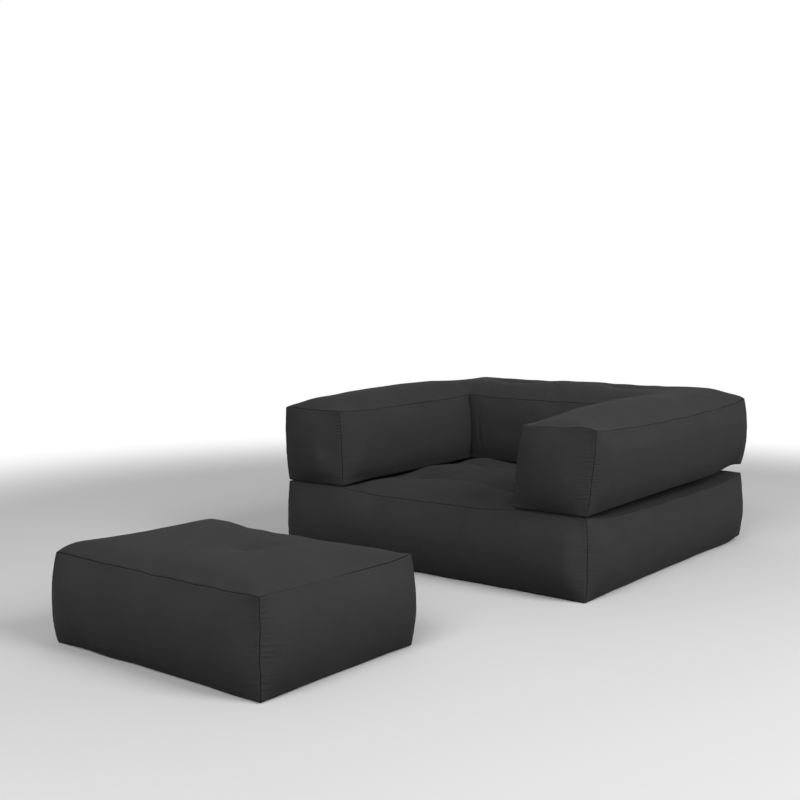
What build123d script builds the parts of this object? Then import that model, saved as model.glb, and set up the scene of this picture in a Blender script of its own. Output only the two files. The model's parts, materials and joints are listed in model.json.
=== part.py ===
"""Folding chair bed: a square base mattress, a U-shaped surround that folds over it, and a loose pouf.

Millimetres. The origin is the centre of the base's underside, on the floor.
The front of the chair faces -Y, +X is to the right seen from the front, and +Z is up.
The pouf stands in front of the chair.
"""

import os
from math import atan2, degrees

from build123d import *

os.makedirs("parts", exist_ok=True)

# Base mattress
base_width = 1050.0
base_depth = 1050.0
base_height = 222.0
base_front_crown = 0.6
base_middle_crown = 9.5
base_back_crown = 5.0
base_draw_in = 8.0
base_bulge = 6.0

# Swollen seat between the arms: how far its edges and its middle stand above the base's seams
seat_front_edge = 3.0
seat_middle_edge = 17.0
seat_back_edge = 12.0
seat_front_crown = 2.0
seat_middle_crown = 8.0
seat_back_crown = 4.0
seat_clearance = 5.0

# Surround, measured from its own underside up to its top seams
surround_height = 229.0
arm_width = 220.0
back_depth = 365.0
arm_front_crown = 14.0
arm_middle_crown = 52.0
arm_rear_crown = 26.0
back_end_crown = 34.0
back_middle_crown = 46.0
surround_draw_in = 8.0
surround_bulge = 7.0
opening_draw_in = 5.0
opening_bulge = 4.0

# How far each arm leans outwards at its top
left_front_lean = 10.0
left_rear_lean = 4.0
right_front_lean = 28.0
right_rear_lean = 8.0

# Loose pouf and where it stands
pouf_width = 650.0
pouf_depth = 477.0
pouf_height = 210.0
pouf_end_crown = 6.0
pouf_middle_crown = 26.0
pouf_draw_in = 7.0
pouf_bulge = 6.0
pouf_side_shift = 67.0
pouf_distance = 565.0

# Fold between the base and the surround
fold_gap = 2.4
fold_rear_gap = 18.0
leaf_play = 0.3
leaf_width = 25.0
leaf_end_margin = 12.0

# Layers of each cushion
cover_thickness = 1.2
wadding_thickness = 8.0

# How far the top and bottom panels turn over a cushion's edges before they meet its borders, and
# how far a front or back border turns round a corner before it meets the next one
panel_turn = 3.0

# Tufts, and the ties through the filling that pull them in
tuft_spacing = 420.0
tuft_radius = 58.0
tuft_depth = 15.0
pouf_tuft_shift = 45.0
tie_radius = 2.0
tuft_row_shares = (1 / 6, 1 / 2, 5 / 6)

# Shape of a tuft's flank: its drop halfway out, and how far its tool runs on past the rim
flank_share = 0.42
rim_share = 1.5

# How far a cushion's wall still bows out beside its corner seams
corner_bow = 0.3

# Length that cutting solids run past what they cut, and past the leaning arms
overrun = 12.0
border_reach = 48.0

half_width = base_width / 2
opening_half = half_width - arm_width
opening_depth = base_depth - back_depth
arm_centre = half_width - arm_width / 2
back_centre = base_depth - back_depth / 2
tuft_x = tuft_spacing / 2
base_tufts = [(side * tuft_x, base_depth * share) for share in tuft_row_shares for side in (-1, 1)]
back_tufts = [(side * tuft_x, back_centre) for side in (-1, 1)]
pouf_tufts = [(pouf_tuft_shift, pouf_depth / 2)]
core_inset = cover_thickness + wadding_thickness
leaf_thickness = (fold_gap - leaf_play) / 2
fold_tilt = degrees(atan2(fold_rear_gap - fold_gap, base_depth))

# Leans of the left and right arm at the front, at the rear and at the inner corners of the opening
front_leans = (left_front_lean, right_front_lean)
rear_leans = (left_rear_lean, right_rear_lean)
corner_share = opening_depth / base_depth
corner_leans = tuple(f + (r - f) * corner_share for f, r in zip(front_leans, rear_leans))

# Each cushion's own frame: the middle of its front bottom edge, x to the right, y to the back
base_frame = Plane((0, -base_depth / 2, 0))
surround_frame = Plane((0, -base_depth / 2, base_height + fold_gap)).rotated((fold_tilt, 0, 0))
pouf_frame = Plane((pouf_side_shift, -base_depth / 2 - pouf_distance - pouf_depth, 0))


def across_plane(frame, y):
    """Upright plane across a cushion, y behind its front: sketch x runs right, sketch y runs up."""
    return Plane(frame.from_local_coords((0, y, 0)), x_dir=frame.x_dir, z_dir=-frame.y_dir)


def along_plane(frame, x):
    """Upright plane along a cushion, x from its middle: sketch x runs back, sketch y runs up."""
    return Plane(frame.from_local_coords((x, 0, 0)), x_dir=frame.y_dir, z_dir=frame.x_dir)


def level_plane(frame, z):
    """Plane parallel to a cushion's underside, z above it."""
    return Plane(frame.from_local_coords((0, 0, z)), x_dir=frame.x_dir, z_dir=frame.z_dir)


def bowed_edge(start, end, bow):
    """Edge of a profile from start to end, bowed sideways by bow in the middle."""
    ThreePointArc(start, ((start[0] + end[0]) / 2 + bow, (start[1] + end[1]) / 2), end)


def wall_profile(plane, low, high, foot, seam, head, bulge, leans=(0, 0)):
    """Section between two soft walls that bow out from the bottom seam to the top seam."""
    low_top = low - leans[0]
    high_top = high + leans[1]
    with BuildSketch(plane) as profile:
        with BuildLine():
            Polyline((low, foot), (low, foot - overrun), (high, foot - overrun), (high, foot))
            bowed_edge((high, foot), (high_top, seam), bulge)
            Polyline((high_top, seam), (high_top, head), (low_top, head), (low_top, seam))
            bowed_edge((low_top, seam), (low, foot), -bulge)
        make_face()
    return profile.sketch


def crown_profile(plane, low, high, floor, seam, crown, reach=overrun):
    """Section through a crowned top between two seams, on a block that reaches past both."""
    with BuildSketch(plane) as profile:
        with BuildLine():
            Polyline((low, seam), (low - reach, seam), (low - reach, floor), (high + reach, floor))
            Polyline((high + reach, floor), (high + reach, seam), (high, seam))
            ThreePointArc((high, seam), ((low + high) / 2, seam + crown), (low, seam))
        make_face()
    return profile.sketch


def soft_walls(
    frame, half, front, rear, foot, seam, head, draw_in, bulge, start_leans=(0, 0), end_leans=(0, 0)
):
    """Upright walls of a cushion: straight at its corners, drawn in and bowed out between them."""
    lean_reach = max(start_leans + end_leans)
    middle_leans = tuple((a + b) / 2 for a, b in zip(start_leans, end_leans))
    side_reach = half + lean_reach + overrun
    slim = half - draw_in
    middle = (front + rear) / 2
    top = head + overrun
    with BuildPart() as walls:
        front_section = wall_profile(
            across_plane(frame, front - overrun), -half, half, foot, seam, head, corner_bow, start_leans
        )
        middle_section = wall_profile(
            across_plane(frame, middle), -slim, slim, foot, seam, head, bulge, middle_leans
        )
        rear_section = wall_profile(
            across_plane(frame, rear + overrun), -half, half, foot, seam, head, corner_bow, end_leans
        )
        loft(sections=[front_section, middle_section, rear_section])
        left_plane = along_plane(frame, -side_reach)
        centre_plane = along_plane(frame, 0)
        right_plane = along_plane(frame, side_reach)
        left_section = wall_profile(left_plane, front, rear, foot, seam, top, corner_bow)
        centre_section = wall_profile(
            centre_plane, front + draw_in, rear - draw_in, foot, seam, top, bulge
        )
        right_section = wall_profile(right_plane, front, rear, foot, seam, top, corner_bow)
        loft(sections=[left_section, centre_section, right_section], mode=Mode.INTERSECT)
    return walls.part


def crown_rise(share, crowns):
    """Height of a crown at a share of its length, from its heights at the start, middle and end."""
    start, middle, end = crowns
    place = 2 * share - 1
    return middle + place * (end - start) / 2 + place**2 * ((start + end) / 2 - middle)


def tuft_tool(frame, x, y, surface):
    """Dimple that a tie pulls into a crowned top."""
    rim = (x + tuft_radius, surface)
    with BuildPart() as tool:
        with BuildSketch(across_plane(frame, y)):
            with BuildLine():
                ThreePointArc(
                    (x, surface - tuft_depth),
                    (x + tuft_radius / 2, surface - tuft_depth * flank_share),
                    rim,
                )
                Polyline(
                    rim,
                    (x + tuft_radius * rim_share, surface + tuft_depth),
                    (x, surface + tuft_depth),
                    (x, surface - tuft_depth),
                )
            make_face()
        revolve(axis=Axis(frame.from_local_coords((x, y, 0)), frame.z_dir))
    return tool.part


def base_form(inset):
    """Base mattress with every face moved in by inset."""
    seam = base_height - inset
    head = base_height + seat_middle_edge + seat_middle_crown + overrun
    crowns = (base_front_crown, base_middle_crown, base_back_crown)
    edges = (seat_front_edge, seat_middle_edge, seat_back_edge)
    seat_crowns = (seat_front_crown, seat_middle_crown, seat_back_crown)
    seat_half = opening_half - opening_draw_in - seat_clearance - inset
    seat_rear = opening_depth - opening_draw_in - seat_clearance - inset
    with BuildPart() as form:
        top_sections = []
        for y, crown in zip((-overrun, base_depth / 2, base_depth + overrun), crowns):
            plane = across_plane(base_frame, y)
            top_sections.append(crown_profile(plane, -half_width, half_width, -overrun, seam, crown))
        loft(sections=top_sections)
        ledge = seat_half - overrun
        seat_floor = base_height / 2
        seat_sections = []
        for y, edge, crown in zip((-overrun, seat_rear / 2, seat_rear), edges, seat_crowns):
            plane = across_plane(base_frame, y)
            seat_sections.append(crown_profile(plane, -ledge, ledge, seat_floor, seam + edge, crown))
        loft(sections=seat_sections)
        half = half_width - inset
        rear = base_depth - inset
        walls = soft_walls(
            base_frame, half, inset, rear, inset, seam, head, base_draw_in, base_bulge
        )
        add(walls, mode=Mode.INTERSECT)
        split(bisect_by=level_plane(base_frame, inset), keep=Keep.TOP)
        for x, y in base_tufts:
            surface = seam + crown_rise(y / base_depth, crowns) * (1 - (x / half_width) ** 2)
            if y < seat_rear:
                surface = seam + crown_rise(y / seat_rear, edges)
            add(tuft_tool(base_frame, x, y, surface), mode=Mode.SUBTRACT)
    return form.part


def pouf_form(inset):
    """Pouf with every face moved in by inset."""
    seam = pouf_height - inset
    head = pouf_height + pouf_middle_crown + overrun
    half = pouf_width / 2
    crowns = (pouf_end_crown, pouf_middle_crown, pouf_end_crown)
    with BuildPart() as form:
        sections = []
        for y, crown in zip((-overrun, pouf_depth / 2, pouf_depth + overrun), crowns):
            plane = across_plane(pouf_frame, y)
            sections.append(crown_profile(plane, -half, half, -overrun, seam, crown))
        loft(sections=sections)
        rear = pouf_depth - inset
        walls = soft_walls(
            pouf_frame, half - inset, inset, rear, inset, seam, head, pouf_draw_in, pouf_bulge
        )
        add(walls, mode=Mode.INTERSECT)
        split(bisect_by=level_plane(pouf_frame, inset), keep=Keep.TOP)
        for x, y in pouf_tufts:
            surface = seam + pouf_middle_crown * (1 - (x / half) ** 2)
            add(tuft_tool(pouf_frame, x, y, surface), mode=Mode.SUBTRACT)
    return form.part


def arm_roof(side, inset):
    """Crowned block over one arm, its crown following the arm's outward lean."""
    leans = (right_front_lean, right_rear_lean) if side > 0 else (left_front_lean, left_rear_lean)
    places = (-overrun, base_depth / 2, base_depth + overrun)
    crowns = (arm_front_crown, arm_middle_crown, arm_rear_crown)
    with BuildPart() as roof:
        sections = []
        for y, crown, lean in zip(places, crowns, (leans[0], sum(leans) / 2, leans[1])):
            inner = side * (opening_half + lean)
            outer = side * (half_width + lean)
            plane = across_plane(surround_frame, y)
            low, high = sorted((inner, outer))
            seam = surround_height - inset
            sections.append(crown_profile(plane, low, high, -overrun, seam, crown, border_reach))
        loft(sections=sections)
    return roof.part


def back_roof(inset):
    """Crowned block over the back, between the middles of the two arms."""
    crowns = (back_end_crown, back_middle_crown, back_end_crown)
    with BuildPart() as roof:
        sections = []
        for x, crown in zip((-arm_centre, 0, arm_centre), crowns):
            plane = along_plane(surround_frame, x)
            seam = surround_height - inset
            sections.append(crown_profile(plane, opening_depth, base_depth, -overrun, seam, crown))
        loft(sections=sections)
    return roof.part


def surround_form(inset):
    """U-shaped surround with every face moved in by inset."""
    seam = surround_height - inset
    head = surround_height + arm_middle_crown + overrun
    crowns = (back_end_crown, back_middle_crown, back_end_crown)
    with BuildPart() as form:
        add(arm_roof(-1, inset))
        add(arm_roof(1, inset))
        add(back_roof(inset))
        outer_walls = soft_walls(
            surround_frame,
            half_width - inset,
            inset,
            base_depth - inset,
            inset,
            seam,
            head,
            surround_draw_in,
            surround_bulge,
            front_leans,
            rear_leans,
        )
        add(outer_walls, mode=Mode.INTERSECT)
        split(bisect_by=level_plane(surround_frame, inset), keep=Keep.TOP)
        opening = soft_walls(
            surround_frame,
            opening_half + inset,
            -2 * overrun,
            opening_depth + inset,
            inset,
            seam,
            head + overrun,
            opening_draw_in,
            -opening_bulge,
            front_leans,
            corner_leans,
        )
        add(opening, mode=Mode.SUBTRACT)
        for x, y in back_tufts:
            surface = seam + crown_rise((x / arm_centre + 1) / 2, crowns)
            add(tuft_tool(surround_frame, x, y, surface), mode=Mode.SUBTRACT)
    return form.part


def write(piece, name):
    """Names a finished piece and writes its file."""
    piece.part.label = name
    export_step(piece.part, f"parts/{name}.step")


def outline_prism(frame, low, high, low_outline, high_outline):
    """Solid between one outline at height low and another at height high."""
    with BuildPart() as prism:
        for height, outline in ((low, low_outline), (high, high_outline)):
            with BuildSketch(level_plane(frame, height)):
                with BuildLine():
                    Polyline(*outline, close=True)
                make_face()
        loft(ruled=True)
    return prism.part


def write_cut(name, solid, frame, low, high, low_outline, high_outline=None):
    """Writes the piece that a prism cuts out of a solid."""
    prism = outline_prism(frame, low, high, low_outline, high_outline or low_outline)
    with BuildPart() as piece:
        add(solid)
        add(prism, mode=Mode.INTERSECT)
    write(piece, name)


def block_outline(half, front, rear):
    """Rectangle that reaches past a cushion on every side."""
    left = -half - border_reach
    right = half + border_reach
    return [(left, front), (right, front), (right, rear), (left, rear)]


def corner_outlines(half, depth, mitre):
    """Outlines that part a rectangular cushion's border into four strips, mitred beside the corners."""
    out = border_reach
    front = panel_turn
    back = depth - panel_turn
    front_left = (-half - out, front - out)
    front_left_in = (-half + mitre, front + mitre)
    front_right = (half + out, front - out)
    front_right_in = (half - mitre, front + mitre)
    back_right = (half + out, back + out)
    back_right_in = (half - mitre, back - mitre)
    back_left = (-half - out, back + out)
    back_left_in = (-half + mitre, back - mitre)
    return {
        "front_border": [front_left, front_right, front_right_in, front_left_in],
        "right_border": [front_right, back_right, back_right_in, front_right_in],
        "back_border": [back_right, back_left, back_left_in, back_right_in],
        "left_border": [back_left, front_left, front_left_in, back_left_in],
    }


def surround_outlines(fronts, rears, corners):
    """Outlines that part the U-shaped border into eight strips, for the leans at one height."""
    out = border_reach
    mitre = arm_width / 2
    front_line = panel_turn
    back_line = base_depth - panel_turn
    opening_line = opening_depth - panel_turn
    strips = {}
    back_points = []
    opening_points = []
    for side, name, front, rear, corner in zip((-1, 1), ("left", "right"), fronts, rears, corners):
        outer = side * (half_width + front)
        inner = side * (opening_half + front)
        outer_rear = side * (half_width + rear)
        inner_rear = side * (opening_half + corner)
        step = side * out
        front_out = (outer + step, front_line - out)
        front_in = (inner - step, front_line - out)
        arm_point = (outer - side * mitre, front_line + mitre)
        rear_out = (outer_rear + step, back_line + out)
        rear_in = (outer_rear - side * mitre, back_line - mitre)
        corner_out = (inner_rear - step, opening_line - out)
        corner_in = (inner_rear + side * mitre, opening_line + mitre)
        strips[f"{name}_arm_front_border"] = [front_out, front_in, arm_point]
        strips[f"{name}_border"] = [front_out, arm_point, rear_in, rear_out]
        strips[f"opening_{name}_border"] = [front_in, arm_point, corner_in, corner_out]
        back_points.append((rear_out, rear_in))
        opening_points.append((corner_out, corner_in))
    strips["back_border"] = [*back_points[0], *reversed(back_points[1])]
    strips["opening_back_border"] = [*opening_points[0], *reversed(opening_points[1])]
    return strips


def foam_outlines(corners):
    """Outlines of the three foam blocks of the surround, mitred behind its inner corners."""
    out = border_reach
    corner_y = opening_depth + core_inset - panel_turn
    outer = half_width + out
    blocks = {}
    joints = []
    for side, name, corner in zip((-1, 1), ("left", "right"), corners):
        corner_x = opening_half + core_inset + corner
        joint_in = (side * (corner_x - out), corner_y - out)
        joint_out = (side * outer, corner_y + outer - corner_x)
        front_in = (side * (corner_x - out), -overrun)
        front_out = (side * outer, -overrun)
        blocks[f"{name}_arm_foam"] = [front_in, front_out, joint_out, joint_in]
        joints.append((joint_in, joint_out))
    rear = base_depth + out
    left_joint, right_joint = joints
    rear_corners = [(outer, rear), (-outer, rear)]
    blocks["back_foam"] = [*left_joint[::-1], *right_joint, *rear_corners]
    return blocks


def write_ties(name, frame, places, height, lining):
    """Writes the ties of a cushion, from its bottom panel up to the pulled-in top panel."""
    with BuildPart() as ties:
        with BuildSketch(frame):
            with Locations(*places):
                Circle(tie_radius)
        extrude(amount=height)
        add(lining, mode=Mode.INTERSECT)
    write(ties, name)
    return ties.part


def write_wadding(name, lining, core, ties):
    """Writes the wadding between a cushion's cover and its foam."""
    with BuildPart() as wadding:
        add(lining)
        add(core, mode=Mode.SUBTRACT)
        add(ties, mode=Mode.SUBTRACT)
    write(wadding, name)


def without(solid, *cutters):
    """A solid less others."""
    with BuildPart() as rest:
        add(solid)
        for cutter in cutters:
            add(cutter, mode=Mode.SUBTRACT)
    return rest.part


def write_box_cushion(name, frame, half, depth, height, form_maker, places):
    """Writes the panels, borders, wadding, foam and ties of a rectangular cushion."""
    form, lining, core = [form_maker(inset) for inset in (0, cover_thickness, core_inset)]
    cover = without(form, lining)
    ties = write_ties(f"{name}_tuft_ties", frame, places, height + border_reach, lining)
    write_wadding(f"{name}_wadding", lining, core, ties)
    with BuildPart() as foam:
        add(core)
        add(ties, mode=Mode.SUBTRACT)
    write(foam, f"{name}_foam_core")
    bottom = panel_turn
    top = height - panel_turn
    block = block_outline(half, -border_reach, depth + border_reach)
    write_cut(f"{name}_bottom_panel", cover, frame, -overrun, bottom, block)
    write_cut(f"{name}_top_panel", cover, frame, top, height + border_reach, block)
    for strip, outline in corner_outlines(half, depth, border_reach).items():
        write_cut(f"{name}_{strip}", cover, frame, bottom, top, outline)
    return form


base_solid = write_box_cushion(
    "base", base_frame, half_width, base_depth, base_height, base_form, base_tufts
)
write_box_cushion(
    "pouf", pouf_frame, pouf_width / 2, pouf_depth, pouf_height, pouf_form, pouf_tufts
)

# Surround
surround_solid, surround_lining, surround_core = [
    surround_form(inset) for inset in (0, cover_thickness, core_inset)
]
surround_cover = without(surround_solid, surround_lining)
surround_head = surround_height + border_reach + arm_middle_crown
surround_ties = write_ties(
    "surround_tuft_ties", surround_frame, back_tufts, surround_head, surround_lining
)
write_wadding("surround_wadding", surround_lining, surround_core, surround_ties)
surround_foam = without(surround_core, surround_ties)
upright_foam = foam_outlines((0, 0))
leaning_foam = foam_outlines([lean * surround_head / surround_height for lean in corner_leans])
for foam_name, outline in upright_foam.items():
    lean = leaning_foam[foam_name]
    write_cut(foam_name, surround_foam, surround_frame, 0, surround_head, outline, lean)

surround_block = block_outline(half_width, -border_reach, base_depth + border_reach)
seam_low = panel_turn
seam_high = surround_height - panel_turn
write_cut(
    "surround_bottom_panel", surround_cover, surround_frame, -overrun, seam_low, surround_block
)
write_cut(
    "surround_top_panel", surround_cover, surround_frame, seam_high, surround_head, surround_block
)
upright = surround_outlines((0, 0), (0, 0), (0, 0))
leaning = surround_outlines(front_leans, rear_leans, corner_leans)
for strip, outline in upright.items():
    name = f"surround_{strip}"
    lean = leaning[strip]
    write_cut(name, surround_cover, surround_frame, seam_low, seam_high, outline, lean)

# Fold strips, each a leaf sewn along the base's front edge and a leaf sewn under an arm's front edge
for side, side_name in ((-1, "left"), (1, "right")):
    leaf_x = side * arm_centre
    leaf_length = arm_width - 2 * leaf_end_margin
    leaf_place = (leaf_x, leaf_width / 2)
    with BuildPart() as base_leaf:
        with BuildSketch(level_plane(base_frame, base_height + leaf_thickness)):
            with Locations(leaf_place):
                Rectangle(leaf_length, leaf_width)
        extrude(amount=-leaf_thickness)
        add(base_solid, mode=Mode.SUBTRACT)
    write(base_leaf, f"{side_name}_fold_strip_base_leaf")
    with BuildPart() as surround_leaf:
        with BuildSketch(surround_frame):
            with Locations(leaf_place):
                Rectangle(leaf_length, leaf_width)
        extrude(amount=-leaf_thickness)
    write(surround_leaf, f"{side_name}_fold_strip_surround_leaf")
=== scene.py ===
# %% [markdown]
# # A chair bed of three stuffed cushions
# The real object is a square base mattress, a U-shaped surround that lies on it as arms and back, and
# a loose pouf. All three are box cushions in one charcoal cotton cover: a top panel, a strip of border
# all round and a bottom panel, sewn edge to edge.
#
# The measured model comes first. It fixes every size and every moving body, and this script only
# dresses it. Its box is kept.

# %% Load the measured model
import json
import math
from types import SimpleNamespace

import bmesh
import bpy
import numpy as np
from mathutils.kdtree import KDTree
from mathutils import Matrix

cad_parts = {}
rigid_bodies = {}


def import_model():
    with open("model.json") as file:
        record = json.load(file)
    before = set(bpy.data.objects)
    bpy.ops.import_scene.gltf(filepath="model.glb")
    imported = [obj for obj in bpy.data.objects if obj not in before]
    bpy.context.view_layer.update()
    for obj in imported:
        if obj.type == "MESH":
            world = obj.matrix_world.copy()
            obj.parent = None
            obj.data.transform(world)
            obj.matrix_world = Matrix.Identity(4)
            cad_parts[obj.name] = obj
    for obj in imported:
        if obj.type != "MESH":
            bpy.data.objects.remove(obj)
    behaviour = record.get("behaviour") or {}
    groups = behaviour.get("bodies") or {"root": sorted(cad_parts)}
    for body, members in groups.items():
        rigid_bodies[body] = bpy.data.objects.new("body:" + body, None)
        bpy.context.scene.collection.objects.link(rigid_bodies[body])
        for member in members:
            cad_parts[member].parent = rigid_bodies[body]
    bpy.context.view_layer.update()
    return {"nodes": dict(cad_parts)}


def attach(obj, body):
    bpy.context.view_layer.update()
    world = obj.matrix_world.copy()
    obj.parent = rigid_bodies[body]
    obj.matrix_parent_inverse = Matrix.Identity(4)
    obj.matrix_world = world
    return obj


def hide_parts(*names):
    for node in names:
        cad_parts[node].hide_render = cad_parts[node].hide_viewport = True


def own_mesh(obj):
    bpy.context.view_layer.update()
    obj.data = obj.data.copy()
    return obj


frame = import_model()

# %% [markdown]
# ## The camera
# The picture was taken from the front right of the chair, a little above the seat. A camera is placed
# by its position and two angles: how far it turns to the left, and how far it looks down. The lens
# length follows from how fast the cushions shrink with distance.

# %% Camera
CAMERA_PLACE = (1.895, -3.048, 0.756)
CAMERA_TURN = 0.665
CAMERA_DIP = 0.080
LENS = 50.15

camera_data = bpy.data.cameras.new("camera")
camera_data.lens = LENS
camera_data.sensor_width = 36
camera = bpy.data.objects.new("camera", camera_data)
camera.location = CAMERA_PLACE
camera.rotation_euler = (math.pi / 2 - CAMERA_DIP, 0, CAMERA_TURN)
bpy.context.scene.collection.objects.link(camera)
bpy.context.scene.camera = camera
print("camera at", CAMERA_PLACE, "lens", LENS)

# %% [markdown]
# ## Sizes shared with the measured model
# All lengths are metres. Each cushion is drawn in its own frame, where x runs to the right, y runs back
# from the middle of its front edge and z runs up from its underside. Three small functions carry such
# points to their places in the room. The surround lies tilted by a little under a degree, because its
# front rests on the base and the stuffing holds its back up.

# %% Frames of the three cushions
BASE_HALF, BASE_DEPTH, BASE_HEIGHT = 0.525, 1.050, 0.222
ARM_WIDTH, OPENING_DEPTH, SURROUND_HEIGHT = 0.220, 0.685, 0.229
OPENING_HALF = BASE_HALF - ARM_WIDTH
ARM_MIDDLE = BASE_HALF - ARM_WIDTH / 2
POUF_HALF, POUF_DEPTH, POUF_HEIGHT = 0.325, 0.477, 0.210
POUF_PLACE = (0.067, -1.567)
FOLD_HEIGHT = 0.2244
FOLD_TILT = math.atan2(0.0156, BASE_DEPTH)
TINY, ROUNDING, SEWN_WITHIN = 1e-6, 1e-9, 2e-5


def base_place(p):
    """From the base's own frame to the room."""
    return p + np.array([0, -BASE_DEPTH / 2, 0])


def pouf_place(p):
    """From the pouf's own frame to the room."""
    return p + np.array([POUF_PLACE[0], POUF_PLACE[1], 0])


def surround_place(p):
    """From the surround's own tilted frame to the room."""
    c, s = math.cos(FOLD_TILT), math.sin(FOLD_TILT)
    x, y, z = p[..., 0], p[..., 1], p[..., 2]
    return np.stack([x, y * c - z * s - BASE_DEPTH / 2, y * s + z * c + FOLD_HEIGHT], axis=-1)


print("surround tilted by", round(math.degrees(FOLD_TILT), 2), "degrees")

# %% [markdown]
# ## The curves that stuffing makes
# A stuffed panel is never flat. It leaves its seam at a slope and levels out towards its middle, a seam
# between two corners is drawn inwards, and a knot pulls a dimple. Each of these is one short formula
# between 0 and 1, used for every cushion. Formulas were chosen over sculpting, because a formula gives
# the same cushion each time and its size can be read off.


# %% Curves of stuffed cloth
def arch(share):
    """0 at both ends and 1 halfway, as a seam that is drawn in between two corners."""
    return 1 - (2 * np.clip(share, 0, 1) - 1) ** 2


def belly(share, fullness=3.0):
    """0 at both ends and flat in the middle, as a border that is stuffed full."""
    return 1 - np.abs(2 * np.clip(share, 0, 1) - 1) ** fullness


def rise(distance, reach, fullness=2.3):
    """From 0 at a seam to 1 at the distance where a panel has levelled out."""
    return 1 - (1 - np.clip(distance / reach, 0, 1)) ** fullness


def ease(value):
    """Smooth step from 0 to 1."""
    v = np.clip(value, 0, 1)
    return v * v * (3 - 2 * v)


def through(share, start, middle, end):
    """Parabola through three values, at 0, 1/2 and 1."""
    place = 2 * share - 1
    return middle + place * (end - start) / 2 + place**2 * ((start + end) / 2 - middle)


def ear(x, y, corner, height, reach=0.05):
    """Cloth that stands up right behind a stuffed corner."""
    dx, dy = abs(x - corner[0]), abs(y - corner[1])
    return height * (1 - np.exp(-dx / 0.009)) * (1 - np.exp(-dy / 0.009)) * np.exp(-(dx + dy) / reach)


def dimple(x, y, centre, depth, width):
    """Pull of one tuft on a panel."""
    r2 = (x - centre[0]) ** 2 + (y - centre[1]) ** 2
    return -depth / (1 + r2 / width**2) ** 1.5


print("a panel 30 mm from its seam has risen", round(float(rise(0.03, 0.11)), 2))

# %% [markdown]
# ## Uneven hand work
# No seam is gathered evenly and no border is stuffed evenly. Both are drawn as a few sine waves of
# unrelated lengths added up. The seed of each panel is fixed, so every run gives the same folds.


# %% Gathers and unevenness
def gathers(along, wave, seed, count=4):
    """Uneven ripples along a seam, each about one wave long, between -1 and 1."""
    rng = np.random.default_rng(seed)
    total = np.zeros_like(along)
    for _ in range(count):
        turns = 2 * math.pi * along / (wave * rng.uniform(0.75, 1.4))
        shift = rng.uniform(0, 2 * math.pi)
        total = total + np.sin(turns + shift + 0.9 * np.sin(0.31 * turns + 2 * shift))
    return total / count


def lumps(u, v, size, seed, count=6):
    """Soft uneven stuffing over a panel, between about -1 and 1."""
    rng = np.random.default_rng(seed)
    total = np.zeros(np.broadcast(u, v).shape)
    for _ in range(count):
        angle = rng.uniform(0, math.pi)
        turns = 2 * math.pi * (u * math.cos(angle) + v * math.sin(angle)) / (size * rng.uniform(0.7, 1.5))
        total = total + np.sin(turns + rng.uniform(0, 2 * math.pi))
    return total / count


print("gathers at 0, 5 and 10 mm:", gathers(np.array([0.0, 0.005, 0.01]), 0.014, 1).round(2))

# %% [markdown]
# ## Shape of the base mattress
# The base is a square box cushion. Its top swells between the arms, where nothing lies on it, sinks at
# six tufts, and its front seam sags in the opening. Under the right arm the seam is pressed down and
# the top bulges over it. The function gives the top's height for any point of the plan, so the top
# panel and the upper edges of the borders always meet.
#
# From knot to knot the cloth is pulled into a crease, and behind each crease it swells up again on the
# left, where nobody has sat. The front seam stays straight, because the surround folds out over it.

# %% Base: seams and top
SEAT_EDGE, SEAT_CROWN = (0.010, 0.017, 0.012), 0.009
SEAT_ROWS = ((0.197, 0.225), (0.192, 0.510), (0.210, 0.875))
SEAT_TUFTS = [(side * x, y) for x, y in SEAT_ROWS for side in (-1, 1)]
SEAT_TUFT_DEPTH, SEAT_TUFT_WIDTH = 0.027, 0.058
CREASE_DEPTH, CREASE_WIDTH = 0.009, 0.020
ARM_MARGIN = 0.012


def drawn_in(x, y, half, depth, amount):
    """Plan point of a rectangular cushion's seams, drawn in between the corners."""
    across, along = x / half, 2 * y / depth - 1
    return x - amount * across * (1 - along**2), y - amount * along * (1 - across**2)


def bump_across(x, middle, width):
    """1 at a place and fading to both sides of it."""
    return np.exp(-(((x - middle) / width) ** 2))


def crease(x, y, start, end, width):
    """One along a straight fold in plan, falling off at its sides and towards its ends."""
    run, climb = end[0] - start[0], end[1] - start[1]
    share = np.clip(((x - start[0]) * run + (y - start[1]) * climb) / (run**2 + climb**2), 0, 1)
    away = np.hypot(x - start[0] - share * run, y - start[1] - share * climb)
    return np.exp(-((away / width) ** 2)) * (0.35 + 0.65 * arch(share))


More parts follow.
